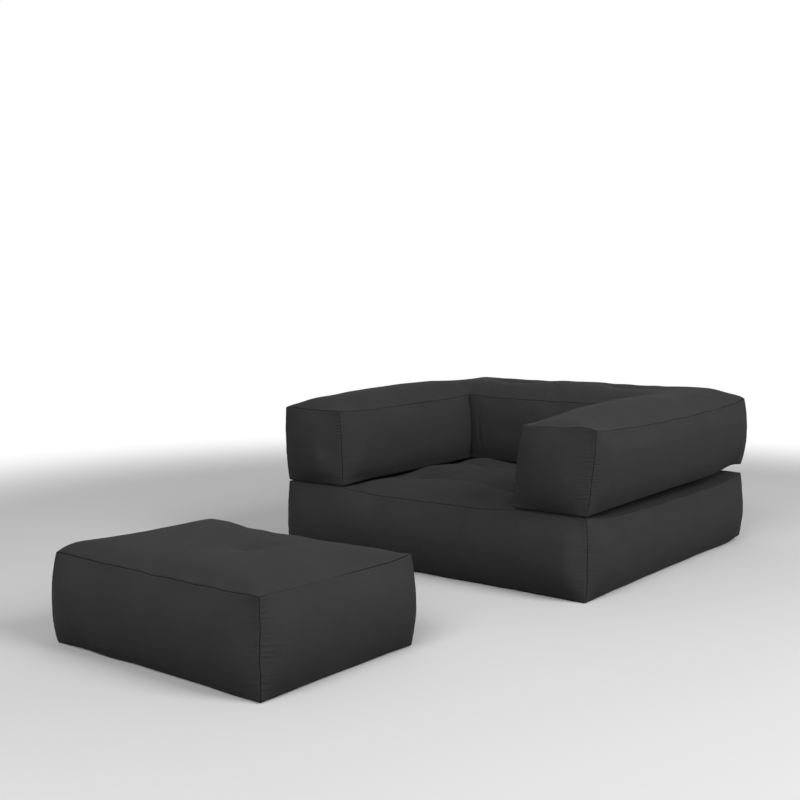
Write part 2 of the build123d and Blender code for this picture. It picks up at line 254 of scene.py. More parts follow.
def base_upper(x, y):
    """Top panel of the base, and the upper edge of its borders."""
    px, py = drawn_in(x, y, BASE_HALF, BASE_DEPTH, 0.008)
    across, along = x / BASE_HALF, y / BASE_DEPTH
    z = BASE_HEIGHT + through(along, 0.0006, 0.0095, 0.005) * (1 - across**2)
    seat = ease((OPENING_HALF - ARM_MARGIN - abs(x)) / 0.050)
    seat = seat * ease((OPENING_DEPTH - ARM_MARGIN - y) / 0.050)
    seat_share = y / OPENING_DEPTH
    swell = through(seat_share, *SEAT_EDGE) + SEAT_CROWN * (1 - (x / OPENING_HALF) ** 2) * arch(seat_share)
    z = z + seat * swell * rise(y, 0.07)
    z = z - 0.009 * ease((OPENING_HALF + 0.02 - abs(x)) / 0.16) * np.exp(-y / 0.05)
    pressed_down = 0.023 * belly(along, 3.5) * bump_across(x, BASE_HALF, 0.10)
    z = z - np.where(x > 0, pressed_down, 0) + 0.0010 * gathers(x + 0.6 * y, 0.11, 32)
    for tuft in SEAT_TUFTS:
        z = z + dimple(x, y, tuft, SEAT_TUFT_DEPTH, SEAT_TUFT_WIDTH) * rise(BASE_DEPTH - y, 0.05)
    return np.stack([px, y + (py - y) * ease(y / 0.05), z + sat_on(x, y)], axis=-1)


def sat_on(x, y):
    """The hollow in the middle of the seat, the creases between its knots and the swells behind them."""
    front_row = -0.008 * ease((0.25 - abs(x)) / 0.06) * bump_across(y, 0.230, 0.055)
    hollow = -0.013 * bump_across(x, 0.04, 0.12) * ease((y - 0.12) / 0.24)
    total = front_row + hollow
    for row in (0, 2):
        total = total - CREASE_DEPTH * crease(x, y, SEAT_TUFTS[row], SEAT_TUFTS[row + 1], CREASE_WIDTH)
    total = total + 0.012 * arch((y - 0.22) / 0.24) * bump_across(x, -0.15, 0.09)
    return total + 0.013 * arch((y - 0.51) / 0.16) * bump_across(x, -0.20, 0.06)


def base_lower(x, y):
    """Bottom panel of the base, and the lower edge of its borders."""
    px, py = drawn_in(x, y, BASE_HALF, BASE_DEPTH, 0.007)
    edge = np.minimum(BASE_HALF - abs(x), np.minimum(y, BASE_DEPTH - y))
    hem = 0.0025 + 0.0022 * gathers(x + 0.7 * y, 0.19, 31)
    hem = hem + 0.012 * np.exp(-((x - BASE_HALF) ** 2 + (y - BASE_DEPTH) ** 2) / 0.06**2)
    return np.stack([px, py, hem * (1 - rise(edge, 0.035))], axis=-1)


print("seat tufts at", [(round(x, 3), round(y, 3)) for x, y in SEAT_TUFTS])

# %% [markdown]
# ## Shape of the pouf
# The pouf is the same cushion in small, with one knot in its top, a little off the middle. Its corners
# stand up straight, the front left one most, and its top seams hardly sink.

# %% Pouf: seams and top
POUF_TUFT = (0.045, POUF_DEPTH / 2)
POUF_LEFT_CORNER = (-POUF_HALF, 0)


def pouf_upper(x, y):
    """Top panel of the pouf, and the upper edge of its borders."""
    px, py = drawn_in(x, y, POUF_HALF, POUF_DEPTH, 0.007)
    across, along = (x / POUF_HALF + 1) / 2, y / POUF_DEPTH
    sag = 0.003 * np.maximum(arch(across) * (1 - arch(along)), arch(along) * (1 - arch(across)))
    edge = rise(POUF_HALF - abs(x), 0.045) * rise(y, 0.045) * rise(POUF_DEPTH - y, 0.045)
    z = POUF_HEIGHT - sag + (0.013 - 0.004 * along) * edge + 0.009 * belly(across, 4.5) * belly(along, 2.6)
    z = z + ear(x, y, POUF_LEFT_CORNER, 0.020) - 0.005 * along * edge * bump_across(x, -0.08, 0.11)
    z = z + 0.0010 * gathers(x + 0.6 * y, 0.11, 34) + 0.004 * ease(-x / 0.3) * edge
    z = z + dimple(x, y, POUF_TUFT, 0.009, 0.032)
    return np.stack([px, py, z], axis=-1)


def pouf_lower(x, y):
    """Bottom panel of the pouf, and the lower edge of its borders."""
    px, py = drawn_in(x, y, POUF_HALF, POUF_DEPTH, 0.005)
    edge = np.minimum(POUF_HALF - abs(x), np.minimum(y, POUF_DEPTH - y))
    hem = 0.0025 + 0.0022 * gathers(x + 0.7 * y, 0.17, 33)
    return np.stack([px, py, hem * (1 - rise(edge, 0.035))], axis=-1)


print("pouf crown stands", round(float(pouf_upper(-0.1, 0.24)[2] - POUF_HEIGHT) * 1000), "mm above its seams")

# %% [markdown]
# ## Shape of the surround
# Arms and back are one U-shaped cushion, so its top is one panel with no seam at the corners. Its
# height is a crest for each arm and for the back, multiplied by how far the panel has risen from every
# seam around it. A product of such rises rounds the outer corners by itself, and the distance to the
# opening's rectangle rounds the inner ones. The back has a shallow valley from knot to knot. The arms
# lean outwards, the right one more.

# %% Surround: crests, leans and seams
LEFT_ARM_CREST, RIGHT_ARM_CREST = (0.034, 0.057, 0.032), (0.014, 0.046, 0.036)
BACK_CREST = (0.048, 0.046, 0.046)
BACK_TUFTS = [(-0.210, 0.868), (0.210, 0.868)]
LEAN_RIGHT, LEAN_LEFT = (0.028, 0.008), (0.010, 0.004)


def opening_distance(x, y):
    """Distance in plan to the rectangle of the opening."""
    return np.hypot(np.maximum(abs(x) - OPENING_HALF, 0), np.maximum(y - OPENING_DEPTH, 0))


def surround_plan(x, y, lean):
    """Plan point of the surround's seams, drawn in, swollen and leaning."""
    side = np.sign(x)
    outer = 1 - np.clip((BASE_HALF - abs(x)) / ARM_WIDTH, 0, 1)
    inner = 1 - np.clip((abs(x) - OPENING_HALF) / ARM_WIDTH, 0, 1)
    rear = np.clip((y - OPENING_DEPTH) / (BASE_DEPTH - OPENING_DEPTH), 0, 1)
    px = x - side * 0.008 * arch(y / BASE_DEPTH) * outer
    px = px - side * 0.005 * arch(y / OPENING_DEPTH) * inner * (y < OPENING_DEPTH)
    py = y - 0.008 * (1 - (x / BASE_HALF) ** 2) * rear
    py = py - 0.005 * np.maximum(1 - (x / OPENING_HALF) ** 2, 0) * (1 - rear) * (y >= OPENING_DEPTH)
    share = y / BASE_DEPTH
    right, left = [front + (rear_end - front) * share for front, rear_end in (LEAN_RIGHT, LEAN_LEFT)]
    px = px + lean * side * np.where(x > 0, right, left) * np.minimum(abs(x) / OPENING_HALF, 1)
    return px, py


def surround_upper(x, y):
    """Top panel of the surround, and the upper edge of its borders."""
    px, py = surround_plan(x, y, 1)
    share = y / BASE_DEPTH
    arm = np.where(x < 0, through(share, *LEFT_ARM_CREST), through(share, *RIGHT_ARM_CREST))
    arm = 0.006 + (arm - 0.006) * rise(y, 0.07)
    back = through((x / BASE_HALF + 1) / 2, *BACK_CREST)
    crest = arm + (back - arm) * ease((y - 0.60) / 0.25)
    valley = 0.012 * bump_across(y, 0.875, 0.040) * ease((0.42 - abs(x)) / 0.15)
    lift = rise(BASE_HALF - abs(x), 0.11) * rise(opening_distance(x, y), 0.11)
    lift = lift * rise(BASE_DEPTH - y, 0.09)
    z = SURROUND_HEIGHT + (crest - valley) * lift + 0.0010 * gathers(x + 0.6 * y, 0.11, 35)
    inward = np.clip((BASE_HALF - x) / ARM_WIDTH, 0, 1)
    settled = 0.015 * arch(y / OPENING_DEPTH) * (y < OPENING_DEPTH) * inward
    settled = settled - 0.014 * arch(share) * (1 - inward)
    z = z + np.where(x > OPENING_HALF - TINY, settled, 0)
    for tuft in BACK_TUFTS:
        z = z + dimple(x, y, tuft, 0.026, 0.055) * lift
    z = z + ear(x, y, (BASE_HALF, BASE_DEPTH), 0.020) + ear(x, y, (-BASE_HALF, 0), 0.012)
    return np.stack([px, py, z], axis=-1)


def surround_lower(x, y):
    """Bottom panel of the surround, and the lower edge of its borders."""
    px, py = surround_plan(x, y, 0)
    edge = np.minimum(BASE_HALF - abs(x), np.minimum(opening_distance(x, y), BASE_DEPTH - y))
    edge = np.minimum(edge, np.where(abs(x) > OPENING_HALF, y, 1))
    inner = opening_distance(x, y)
    z = 0.003 * (1 - rise(edge, 0.03)) + 0.006 * (1 - rise(inner, 0.05)) * ease(y / 0.15)
    z = z + 0.014 * bump_across(y, 0.98, 0.10) * bump_across(x, BASE_HALF, 0.08)
    return np.stack([px, py, z], axis=-1)


for label, spot in (("arm", (-ARM_MIDDLE, 0.5)), ("back", (0.0, 0.8))):
    print(label, "crest", round(float(surround_upper(*spot)[2]), 3))

# %% [markdown]
# ## The borders
# A border is a strip of cloth between the upper and the lower seam. Its four edges are known, so its
# inside is a blend of them, and the stuffing pushes it outwards. The upright seams bow out too, most
# where the cushion is stuffed hardest.
#
# The fronts of the base and of the arms meet when the surround folds out. Their upright seams bow
# sideways only, and stay straight along the fold, so that neither cushion runs into the other there.


# %% Borders between an upper and a lower seam
SIDEWAYS_ONLY = np.array([1.0, 0.0, 1.0])
TUCK_REACH = 0.020


def border_swell(height):
    """How far a border is pushed out at a share of its height, as a part of its bulge."""
    return belly(height**0.92, 2.3)


def border_points(wall, upper, lower, share, height):
    """Points of one border, for shares along it and up it."""
    (x0, y0), (x1, y1) = wall["from"], wall["to"]
    x, y = x0 + (x1 - x0) * share, y0 + (y1 - y0) * share
    out = np.array([*wall["out"], 0.0])
    way = np.array([x1 - x0, y1 - y0, 0.0])
    way = way / np.linalg.norm(way)
    length = math.hypot(x1 - x0, y1 - y0)
    along = share * length
    flat = (1 - height)[..., None] * lower(x, y) + height[..., None] * upper(x, y)
    start_bow, end_bow = wall["bows"]
    swell = border_swell(height)[..., None]
    near_start = (np.clip(1 - share, 0, 1) ** 3)[..., None]
    near_end = (np.clip(share, 0, 1) ** 3)[..., None]
    start_free = SIDEWAYS_ONLY if wall["folds_out"] and y0 == 0 else 1.0
    end_free = SIDEWAYS_ONLY if wall["folds_out"] and y1 == 0 else 1.0
    bowed = start_bow * near_start * (out - way) * start_free + end_bow * near_end * (out + way) * end_free
    start_reach, end_reach = wall["reach"]
    full = wall["bulge"] * (rise(along, start_reach) * rise(length - along, end_reach))[..., None] * out
    start_tuck, end_tuck = wall["tucks"]
    wobble = (0.0007 * np.sin(height * 11) + 0.0004 * np.sin(height * 29))[..., None]
    at_start = np.exp(-along / TUCK_REACH)[..., None] * (start_tuck - wobble * (start_tuck == 0))
    at_end = np.exp(-(length - along) / TUCK_REACH)[..., None] * (end_tuck + wobble * (end_tuck == 0))
    tucked = at_end * (way - out) * end_free - at_start * (way + out) * start_free
    return flat + swell * (bowed + full + tucked)


def wall(name, start, end, out, bulge, bows, **more):
    """What one border needs: its ends in plan, its way out, its swelling and its gathers."""
    plain_wall = {
        "puckers": (0.0011, 0.0011), "reach": (0.10, 0.10), "tucks": (0, 0),
        "folds": None, "fine": (), "folds_out": True,
    }
    settings = {**plain_wall, **more}
    return {"name": name, "from": start, "to": end, "out": out, "bulge": bulge, "bows": bows, **settings}


print("a border's bulge a tenth of the way up:", round(float(border_swell(0.1)), 2))

# %% [markdown]
# ## Lines of cloth
# Every panel is a grid. Its lines crowd together next to a seam, where the cloth turns sharply, and
# spread out in the middle. Evenly fine grids would give the same edges with ten times the points.

# %% Grid lines that crowd at the seams
SEAM_STEPS = np.array([0.0, 0.7, 1.7, 3.0, 4.8, 7.2, 10.4, 14.4, 19.0]) / 1000


def cloth_lines(start, end, pitch):
    """Places of the grid lines from one seam to the next."""
    length = end - start
    count = max(2, round((length - 2 * SEAM_STEPS[-1]) / pitch) + 1)
    middle = np.linspace(SEAM_STEPS[-1], length - SEAM_STEPS[-1], count)
    lines = np.concatenate([SEAM_STEPS[:-1], middle, length - SEAM_STEPS[-2::-1]])
    return start + lines


print("lines across a border:", len(cloth_lines(0, BASE_HEIGHT, 0.0022)))

# %% [markdown]
# ## Seam detail
# Close to a seam the cloth rolls up on both sides of the stitches, which leaves a shallow groove; the thin
# dark line in it is painted shade from the cover's material. Along the upright seams it is gathered too:
# small level puckers that fade within a few centimetres. Both move the cloth along its own outward direction
# and leave the seam itself in place, so that neighbouring panels still meet.


# %% Roll and puckers beside a seam
def seam_roll(distance, height=0.0013, width=0.0034):
    """Roll of the cloth beside its stitches."""
    d = distance / width
    return height * d * np.exp(1 - d)


def pucker(distance, along, amount, seed):
    """Level gathers that run out from an upright seam."""
    fade = np.exp(-distance / 0.015) * (1 - np.exp(-((distance / 0.003) ** 2)))
    uneven = 0.7 + 0.5 * gathers(along, 0.09, seed + 50)
    return 0.8 * amount * fade * uneven * gathers(along + 0.12 * distance, 0.0092, seed, 2)


def outward(points, out):
    """Unit normals of a grid of points, turned to face out."""
    normals = np.cross(np.gradient(points, axis=0), np.gradient(points, axis=1))
    normals /= np.maximum(np.linalg.norm(normals, axis=-1, keepdims=True), 1e-12)
    turned = np.sum(np.mean(normals, axis=(0, 1)) * out) < 0
    return (-normals if turned else normals), turned


print("roll 3 mm from a seam:", round(float(seam_roll(0.003)) * 1000, 2), "mm")

# %% [markdown]
# ## Blowing the cushion up
# Formulas give the size of a cushion, but not the slack of its cloth. So each cushion is also sewn once
# as one coarse closed mesh and handed to the cloth simulation. Its panels are cut a little larger than
# its seams, a pressure stands for the stuffing, and the points at the knots and on the underside stay
# pinned. What comes back is only a movement for every coarse point, capped at a few millimetres. It is
# carried to the fine panels by smooth curves, which keeps seams sharp where a remesh would melt them.


# %% Coarse lines and the curves that carry a movement to fine ones
def even_lines(start, end, pitch):
    """Evenly spaced lines from one seam to the next."""
    return np.linspace(start, end, max(2, round((end - start) / pitch)) + 1)


def spline_weights(coarse, fine):
    """Weights of the coarse lines at each fine one, as a smooth curve through the coarse values."""
    weights = np.zeros((len(fine), len(coarse)))
    cell = np.clip(np.searchsorted(coarse, fine, side="right") - 1, 0, len(coarse) - 2)
    t = (fine - coarse[cell]) / (coarse[cell + 1] - coarse[cell])
    shares = (
        -0.5 * t + t**2 - 0.5 * t**3,
        1 - 2.5 * t**2 + 1.5 * t**3,
        0.5 * t + 2 * t**2 - 1.5 * t**3,
        -0.5 * t**2 + 0.5 * t**3,
    )
    for step, share in zip((-1, 0, 1, 2), shares):
        column = np.clip(cell + step, 0, len(coarse) - 1)
        np.add.at(weights, (np.arange(len(fine)), column), share)
    return weights


def carried(moved, fine_u, fine_v):
    """Movement of a fine grid, from the movement of its coarse one."""
    if moved is None:
        return 0.0
    coarse_u, coarse_v, movement = moved
    across, along = spline_weights(coarse_u, fine_u), spline_weights(coarse_v, fine_v)
    return np.einsum("ia,abk,jb->ijk", across, movement, along)


print("weights halfway:", spline_weights(np.arange(4.0), np.array([1.5])).round(3)[0])

# %% [markdown]
# ## The coarse cushion
# The simulation needs one closed bag. Each panel is a coarse grid, and two panels meet where their
# points coincide, so a search for neighbours within a fiftieth of a millimetre is all the sewing that is
# needed. Borders use the plan's own lines, which makes their points coincide with the panels'.

# %% Grids of the coarse cushion, and their sewing
COARSE = 0.0105


def coarse_patch(points, u, v, out, held, cells=None, edges=None, nearest=None):
    """One panel of the coarse cushion."""
    _, turned = outward(points, out)
    rows, columns = points.shape[:2]
    return {
        "points": points, "u": u, "v": v, "turned": turned, "held": held, "nearest": nearest,
        "cells": np.ones((rows - 1, columns - 1), bool) if cells is None else cells,
        "edges": edges or (np.s_[0, :], np.s_[-1, :], np.s_[:, 0], np.s_[:, -1]),
    }


def wall_patch(side, upper, lower, height, lines_x, lines_y, pitch):
    """The coarse grid of one border, on the plan's own lines so that it meets the panels."""
    (x0, y0), (x1, y1) = side["from"], side["to"]
    lines, start, length = (lines_x, x0, x1 - x0) if y0 == y1 else (lines_y, y0, y1 - y0)
    inside = (lines > start - ROUNDING) & (lines < start + length + ROUNDING)
    along = lines[inside] - start
    up = even_lines(0, height, pitch)
    s, h = np.meshgrid(along / length, up / height, indexing="ij")
    points = border_points(side, upper, lower, s, h)
    return coarse_patch(points, along, up, np.array([*side["out"], 0.0]), np.zeros(points.shape[:2]))


def sewn(patches):
    """Joins the coarse grids: the points, which point each grid place is, and the faces."""
    everything = np.vstack([patch["points"].reshape(-1, 3) for patch in patches.values()])
    tree = KDTree(len(everything))
    for index, point in enumerate(everything):
        tree.insert(point, index)
    tree.balance()
    same = np.array([min(found[1] for found in tree.find_range(point, SEWN_WITHIN)) for point in everything])
    kept, number = np.unique(same, return_inverse=True)
    faces, start = [], 0
    for patch in patches.values():
        rows, columns = patch["points"].shape[:2]
        grid = number[start:start + rows * columns].reshape(rows, columns)
        patch["numbers"] = grid
        start += rows * columns
        for i, j in zip(*np.nonzero(patch["cells"])):
            face = (grid[i, j], grid[i + 1, j], grid[i + 1, j + 1], grid[i, j + 1])
            faces.append([int(k) for k in (face[::-1] if patch["turned"] else face)])
    return everything[kept], faces


print("coarse grids have lines", COARSE * 1000, "mm apart")

# %% [markdown]
# ## The simulation
# The cloth's own settings are few: pressure, a low bending stiffness, and a shrink factor that is below
# zero, which enlarges the cloth, except along the seams. There is no weight and no collision, because
# the form is nearly right already and only the slack has to settle.
#
# Left as it comes, the movement has dents the size of a hand. So it is evened out over its grid, capped,
# and faded out near the upright corners, where the fine borders have their own bows.


# %% Cloth simulation of one cushion
FRAMES, SLACK, PRESSURE = 20, 0.005, 4
CORNER_REACH = 0.09


def as_cloth(bag):
    """The cloth modifier of a coarse cushion."""
    cloth = bag.modifiers.new("cloth", "CLOTH")
    cloth.point_cache.frame_start, cloth.point_cache.frame_end = 1, FRAMES
    cloth.collision_settings.use_collision = False
    settings = cloth.settings
    settings.quality = 5
    settings.mass = 0.3
    settings.tension_stiffness = settings.compression_stiffness = 15
    settings.shear_stiffness = 5
    settings.bending_stiffness = 0.5
    settings.use_pressure = True
    settings.uniform_pressure_force = PRESSURE
    settings.vertex_group_mass = "held"
    settings.pin_stiffness = 10
    settings.vertex_group_shrink = "seam"
    settings.shrink_min, settings.shrink_max = -SLACK, 0.0
    settings.effector_weights.gravity = 0


def coarse_bag(name, points, faces, patches):
    """The coarse cushion as a mesh, with its pinned points and its seams as groups."""
    held, seam = np.zeros(len(points)), np.zeros(len(points))
    for patch in patches.values():
        np.maximum.at(held, patch["numbers"].ravel(), patch["held"].ravel())
        for edge in patch["edges"]:
            seam[patch["numbers"][edge].ravel()] = 1
    mesh = bpy.data.meshes.new(name)
    mesh.from_pydata(points.tolist(), [], faces)
    bag = bpy.data.objects.new(name, mesh)
    bpy.context.scene.collection.objects.link(bag)
    for label, weights in (("held", held), ("seam", seam)):
        group = bag.vertex_groups.new(name=label)
        for index in np.nonzero(weights)[0]:
            group.add([int(index)], float(weights[index]), "REPLACE")
    return bag


def evened(patch, movement):
    """Movement over a whole grid, evened out; places without cloth take that of the nearest seam."""
    grid = movement[patch["numbers"]]
    if patch["nearest"] is None:
        for _ in range(4):
            across = (grid[:-2, 1:-1] + grid[2:, 1:-1]) / 2
            grid[1:-1, 1:-1] = (across + grid[1:-1, 1:-1] + (grid[1:-1, :-2] + grid[1:-1, 2:]) / 2) / 3
        return grid
    rows, columns = patch["nearest"]
    return grid[rows, columns]


def blown_up(name, patches, corners, cap):
    """Runs the simulation and gives each patch its coarse lines and its movement."""
    points, faces = sewn(patches)
    bag = coarse_bag(name, points, faces, patches)
    as_cloth(bag)
    for number in range(1, FRAMES + 1):
        bpy.context.scene.frame_set(number)
    seen = bag.evaluated_get(bpy.context.evaluated_depsgraph_get()).to_mesh()
    after = np.empty(len(points) * 3)
    seen.vertices.foreach_get("co", after)
    movement = after.reshape(-1, 3) - points
    length = np.maximum(np.linalg.norm(movement, axis=1, keepdims=True), ROUNDING)
    print(name, len(points), "points, moved by", (np.percentile(length, (50, 95, 100)) * 1000).round(1), "mm")
    movement = movement * np.tanh(length / cap) * cap / length
    way = np.min([np.hypot(points[:, 0] - x, points[:, 1] - y) for x, y in corners], axis=0)
    movement = movement * ease(way / CORNER_REACH)[:, None]
    mesh = bag.data
    bpy.data.objects.remove(bag)
    bpy.data.meshes.remove(mesh)
    bpy.context.scene.frame_set(1)
    return {key: (patch["u"], patch["v"], evened(patch, movement)) for key, patch in patches.items()}


print("simulation is", f"run for {FRAMES} frames")

# %% [markdown]
# ## A panel as a thin shell
# Cover cloth has a thickness, so each panel is a closed shell: the fine outer side, a coarser inner
# side under it, and a rim that joins them at the seams. A solidify modifier would double every point,
# while nobody sees the inner side, so the shell is built here with few points inside.

# %% Shell of one panel
LINING_DEPTH = 0.0030
FEW = 6
NEAR = 0.05


def few_lines(lines, keep=(), near=()):
    """Numbers of the lines that the inner side keeps: the named places, and all lines near a dimple."""
    kept = set(range(0, len(lines), FEW)) | {0, len(lines) - 1}
    kept |= {int(np.argmin(abs(lines - place))) for place in keep}
    kept |= {number for number, place in enumerate(lines) if any(abs(place - c) < NEAR for c in near)}
    return sorted(kept)


def shell(name, points, inside, turned, grain, cells, few_u, few_v, distance):
    """Mesh object of one panel from its grid of outer points and the smooth grid inside it."""
    rows, columns = points.shape[:2]
    number = np.arange(rows * columns).reshape(rows, columns)
    faces = [
        (number[i, j], number[i + 1, j], number[i + 1, j + 1], number[i, j + 1])
        for i, j in zip(*np.nonzero(cells))
    ]
    under = {}
    for i in few_u:
        for j in few_v:
            under[i, j] = rows * columns + len(under)
    inner = [inside[i, j] for i, j in under]

    def open_cell(i, j):
        return 0 <= i < rows - 1 and 0 <= j < columns - 1 and cells[i, j]

    for a, b in zip(few_u, few_u[1:]):
        for c, d in zip(few_v, few_v[1:]):
            if not open_cell(a, c):
                continue
            faces.append((under[a, c], under[a, d], under[b, d], under[b, c]))
            if not open_cell(a, c - 1):
                faces.append((*number[a:b + 1, c][::-1], under[a, c], under[b, c]))
            if not open_cell(a, d):
                faces.append((*number[a:b + 1, d], under[b, d], under[a, d]))
            if not open_cell(a - 1, c):
                faces.append((*number[a, c:d + 1], under[a, d], under[a, c]))
            if not open_cell(b, c):
                faces.append((*number[b, c:d + 1][::-1], under[b, c], under[b, d]))
    if turned:
        faces = [face[::-1] for face in faces]
    everything = np.vstack([points.reshape(-1, 3), np.array(inner)])
    all_grain = np.vstack([grain.reshape(-1, 2), np.array([grain[i, j] for i, j in under])])
    to_seam = np.concatenate([distance.ravel(), np.ones(len(inner))])
    return cloth_object(name, everything, faces, all_grain, to_seam)


def cloth_object(name, points, faces, grain, to_seam):
    """Smooth mesh object without its unused points, with its grain and the way to its seams."""
    used = np.zeros(len(points), bool)
    for face in faces:
        used[list(face)] = True
    number = np.cumsum(used) - 1
    mesh = bpy.data.meshes.new(name)
    mesh.from_pydata(points[used].tolist(), [], [[int(number[k]) for k in face] for face in faces])
    corners = np.empty(len(mesh.loops), np.int32)
    mesh.loops.foreach_get("vertex_index", corners)
    layer = mesh.uv_layers.new(name="grain")
    layer.data.foreach_set("uv", grain[used][corners].astype(np.float32).ravel())
    way = mesh.attributes.new("to_seam", "FLOAT", "POINT")
    way.data.foreach_set("value", to_seam[used].astype(np.float32))
    mesh.polygons.foreach_set("use_smooth", np.ones(len(mesh.polygons), bool))
    mesh.update()
    piece = bpy.data.objects.new(name, mesh)
    bpy.context.scene.collection.objects.link(piece)
    return piece


print("inner side keeps one line in", FEW)

# %% [markdown]
# ## Building materials from nodes
# Every finish here is a small network of nodes. Two helpers keep such networks readable: one makes a
# node with its settings and feeds its inputs, the other does a sum. An input is either a plain value or
# the output of another node.


# %% Node helpers
def add_node(tree, kind, inputs=(), **settings):
    """A node of a material, with its settings and with its inputs set or linked."""
    made = tree.nodes.new(kind)
    for key, value in settings.items():
        setattr(made, key, value)
    for slot, value in dict(inputs).items():
        if isinstance(value, bpy.types.NodeSocket):
            tree.links.new(value, made.inputs[slot])
        else:
            made.inputs[slot].default_value = value
    return made


def add_sum(tree, operation, *values):
    """The result of a sum on values or outputs."""
    return add_node(tree, "ShaderNodeMath", dict(enumerate(values)), operation=operation).outputs[0]


def new_material(name, roughness):
    """An empty matt material, its nodes and its shader."""
    material = bpy.data.materials.new(name)
    material.use_nodes = True
    shader = material.node_tree.nodes["Principled BSDF"]
    shader.inputs["Roughness"].default_value = roughness
    return material, material.node_tree, shader


print("helpers for materials:", [helper.__name__ for helper in (add_node, add_sum, new_material)])

# %% [markdown]
# ## The charcoal cloth
# The cover is a plain-woven cotton, dyed a warmless near-black. Seen close, warp and weft threads cross
# over and under each other about twelve to the centimetre, some a little paler than others. The weave
# is drawn along each panel's own grain, so it turns with the cloth at every seam. Its bump is low, and
# a faint sheen stands for the loose fibres that catch light at a slant.
#
# The thin dark line along the stitches is painted shade, standing for the shade in a seam's groove. It is
# drawn from the distance to the seam, which every panel carries with its points, and it comes and goes along
# the seam as real stitches sink in unevenly.


# %% Material of the cover
def weave(tree, grain, pitch):
    """Height of warp and weft threads that cross over and under each other."""
    split = add_node(tree, "ShaderNodeSeparateXYZ", {0: grain})
    warp, weft = [
        add_sum(tree, "SINE", add_sum(tree, "MULTIPLY", split.outputs[k], math.pi / pitch)) for k in (0, 1)
    ]
    over = add_sum(tree, "GREATER_THAN", add_sum(tree, "MULTIPLY", warp, weft), 0.0)
    top = add_sum(tree, "MULTIPLY", over, add_sum(tree, "ABSOLUTE", warp))
    below = add_sum(tree, "SUBTRACT", 1.0, over)
    return add_sum(tree, "ADD", top, add_sum(tree, "MULTIPLY", below, add_sum(tree, "ABSOLUTE", weft)))


def slubs(tree, grain, along, across):
    """Soft unevenness of the threads, as close together along and across the grain as told."""
    scale = (along, across, 1)
    place = add_node(tree, "ShaderNodeVectorMath", {0: grain, 1: scale}, operation="MULTIPLY").outputs[0]
    return add_node(tree, "ShaderNodeTexNoise", {"Vector": place, "Scale": 1, "Detail": 2}).outputs[0]


def painted_seam_shade(tree, grain):
    """Painted shade next to the stitches, where a seam's groove lies in shade, stronger here and weaker
    there.
    """
    strength = add_node(tree, "ShaderNodeMapRange", {
        "Value": slubs(tree, grain, 4, 4), "From Min": 0.38, "From Max": 0.62, "To Min": 0.20, "To Max": 0.55,
    })
    to_seam = add_node(tree, "ShaderNodeAttribute", attribute_name="to_seam")
    return add_node(tree, "ShaderNodeMapRange", {
        "Value": to_seam.outputs["Fac"], "From Max": 0.0017, "To Min": strength.outputs[0],
    }, interpolation_type="SMOOTHSTEP").outputs[0]


def cotton(name, tone, pitch=0.0008, seams=True):
    """Plain weave of one dyed tone, with threads one pitch apart, and painted shade at its seams."""
    material, tree, shader = new_material(name, 0.95)
    shader.inputs["Specular IOR Level"].default_value = 0.08
    shader.inputs["Sheen Weight"].default_value = 0.010
    shader.inputs["Sheen Roughness"].default_value = 0.5
    if seams:
        grain = add_node(tree, "ShaderNodeUVMap", uv_map="grain").outputs[0]
    else:
        grain = add_node(tree, "ShaderNodeTexCoord").outputs["Object"]
    relief = weave(tree, grain, pitch)
    bump = add_node(tree, "ShaderNodeBump", {"Strength": 0.35, "Distance": 0.00025, "Height": relief})
    threads = add_sum(tree, "ADD", slubs(tree, grain, 30, 900), slubs(tree, grain, 900, 30))
    threads = add_sum(tree, "ADD", threads, slubs(tree, grain, 7, 7))
    shade = add_node(tree, "ShaderNodeMapRange", {
        "Value": threads, "From Min": 0.9, "From Max": 2.1, "To Min": 0.84, "To Max": 1.16,
    }).outputs[0]
    if seams:
        # painted shade: a thin dark line where the groove of each seam would be in shade
        shade = add_sum(tree, "MULTIPLY", shade, painted_seam_shade(tree, grain))
    colour = add_node(tree, "ShaderNodeMix", data_type="RGBA", blend_type="MULTIPLY")
    colour.inputs[0].default_value = 1
    colour.inputs[6].default_value = (*tone, 1)
    tree.links.new(shade, colour.inputs[7])
    tree.links.new(colour.outputs[2], shader.inputs["Base Color"])
    tree.links.new(bump.outputs[0], shader.inputs["Normal"])
    return material


CHARCOAL = (0.0500, 0.0500, 0.0505)
cover_cloth = cotton("charcoal_cotton", CHARCOAL)
print("cover material", cover_cloth.name, "with", len(cover_cloth.node_tree.nodes), "nodes")

# %% [markdown]
# ## Top and bottom panels
# A cushion is described once, as a set of named values: the functions that give its seams, the lines of
# its cloth, its walls and its place. From that, one function makes either of its large panels. They are
# grids over the plan, with the opening's cells left out of the surround's.


# %% Panels over the plan
def plan_panel(cushion, part, moved):
    """The top or the bottom panel of a cushion."""
    top = part == "top"
    lines_x, lines_y = cushion.lines
    x, y = np.meshgrid(lines_x, lines_y, indexing="ij")
    smooth = (cushion.upper if top else cushion.lower)(x, y) + carried(moved, lines_x, lines_y)
    normals, turned = outward(smooth, np.array([0, 0, 1 if top else -1]))
    distance = cushion.seams(x, y)
    folds = cushion.folds(x, y) if top else 0.0
    lift = seam_roll(distance) + folds * (1 - np.exp(-((distance / 0.02) ** 2)))
    points = cushion.place(smooth + normals * lift[..., None])
    inside = cushion.place(smooth - LINING_DEPTH * normals)
    middle_x, middle_y = (lines_x[1:] + lines_x[:-1]) / 2, (lines_y[1:] + lines_y[:-1]) / 2
    cells = cushion.seams(*np.meshgrid(middle_x, middle_y, indexing="ij")) > 0
    few_x = few_lines(lines_x, cushion.kept_x, cushion.near_x if top else ())
    few_y = few_lines(lines_y, cushion.kept_y, cushion.near_y if top else ())
    grain = np.stack([x, y], axis=-1)
    name = f"{cushion.name}_cover_{part}"
    return shell(name, points, inside, turned, grain, cells, few_x, few_y, distance)


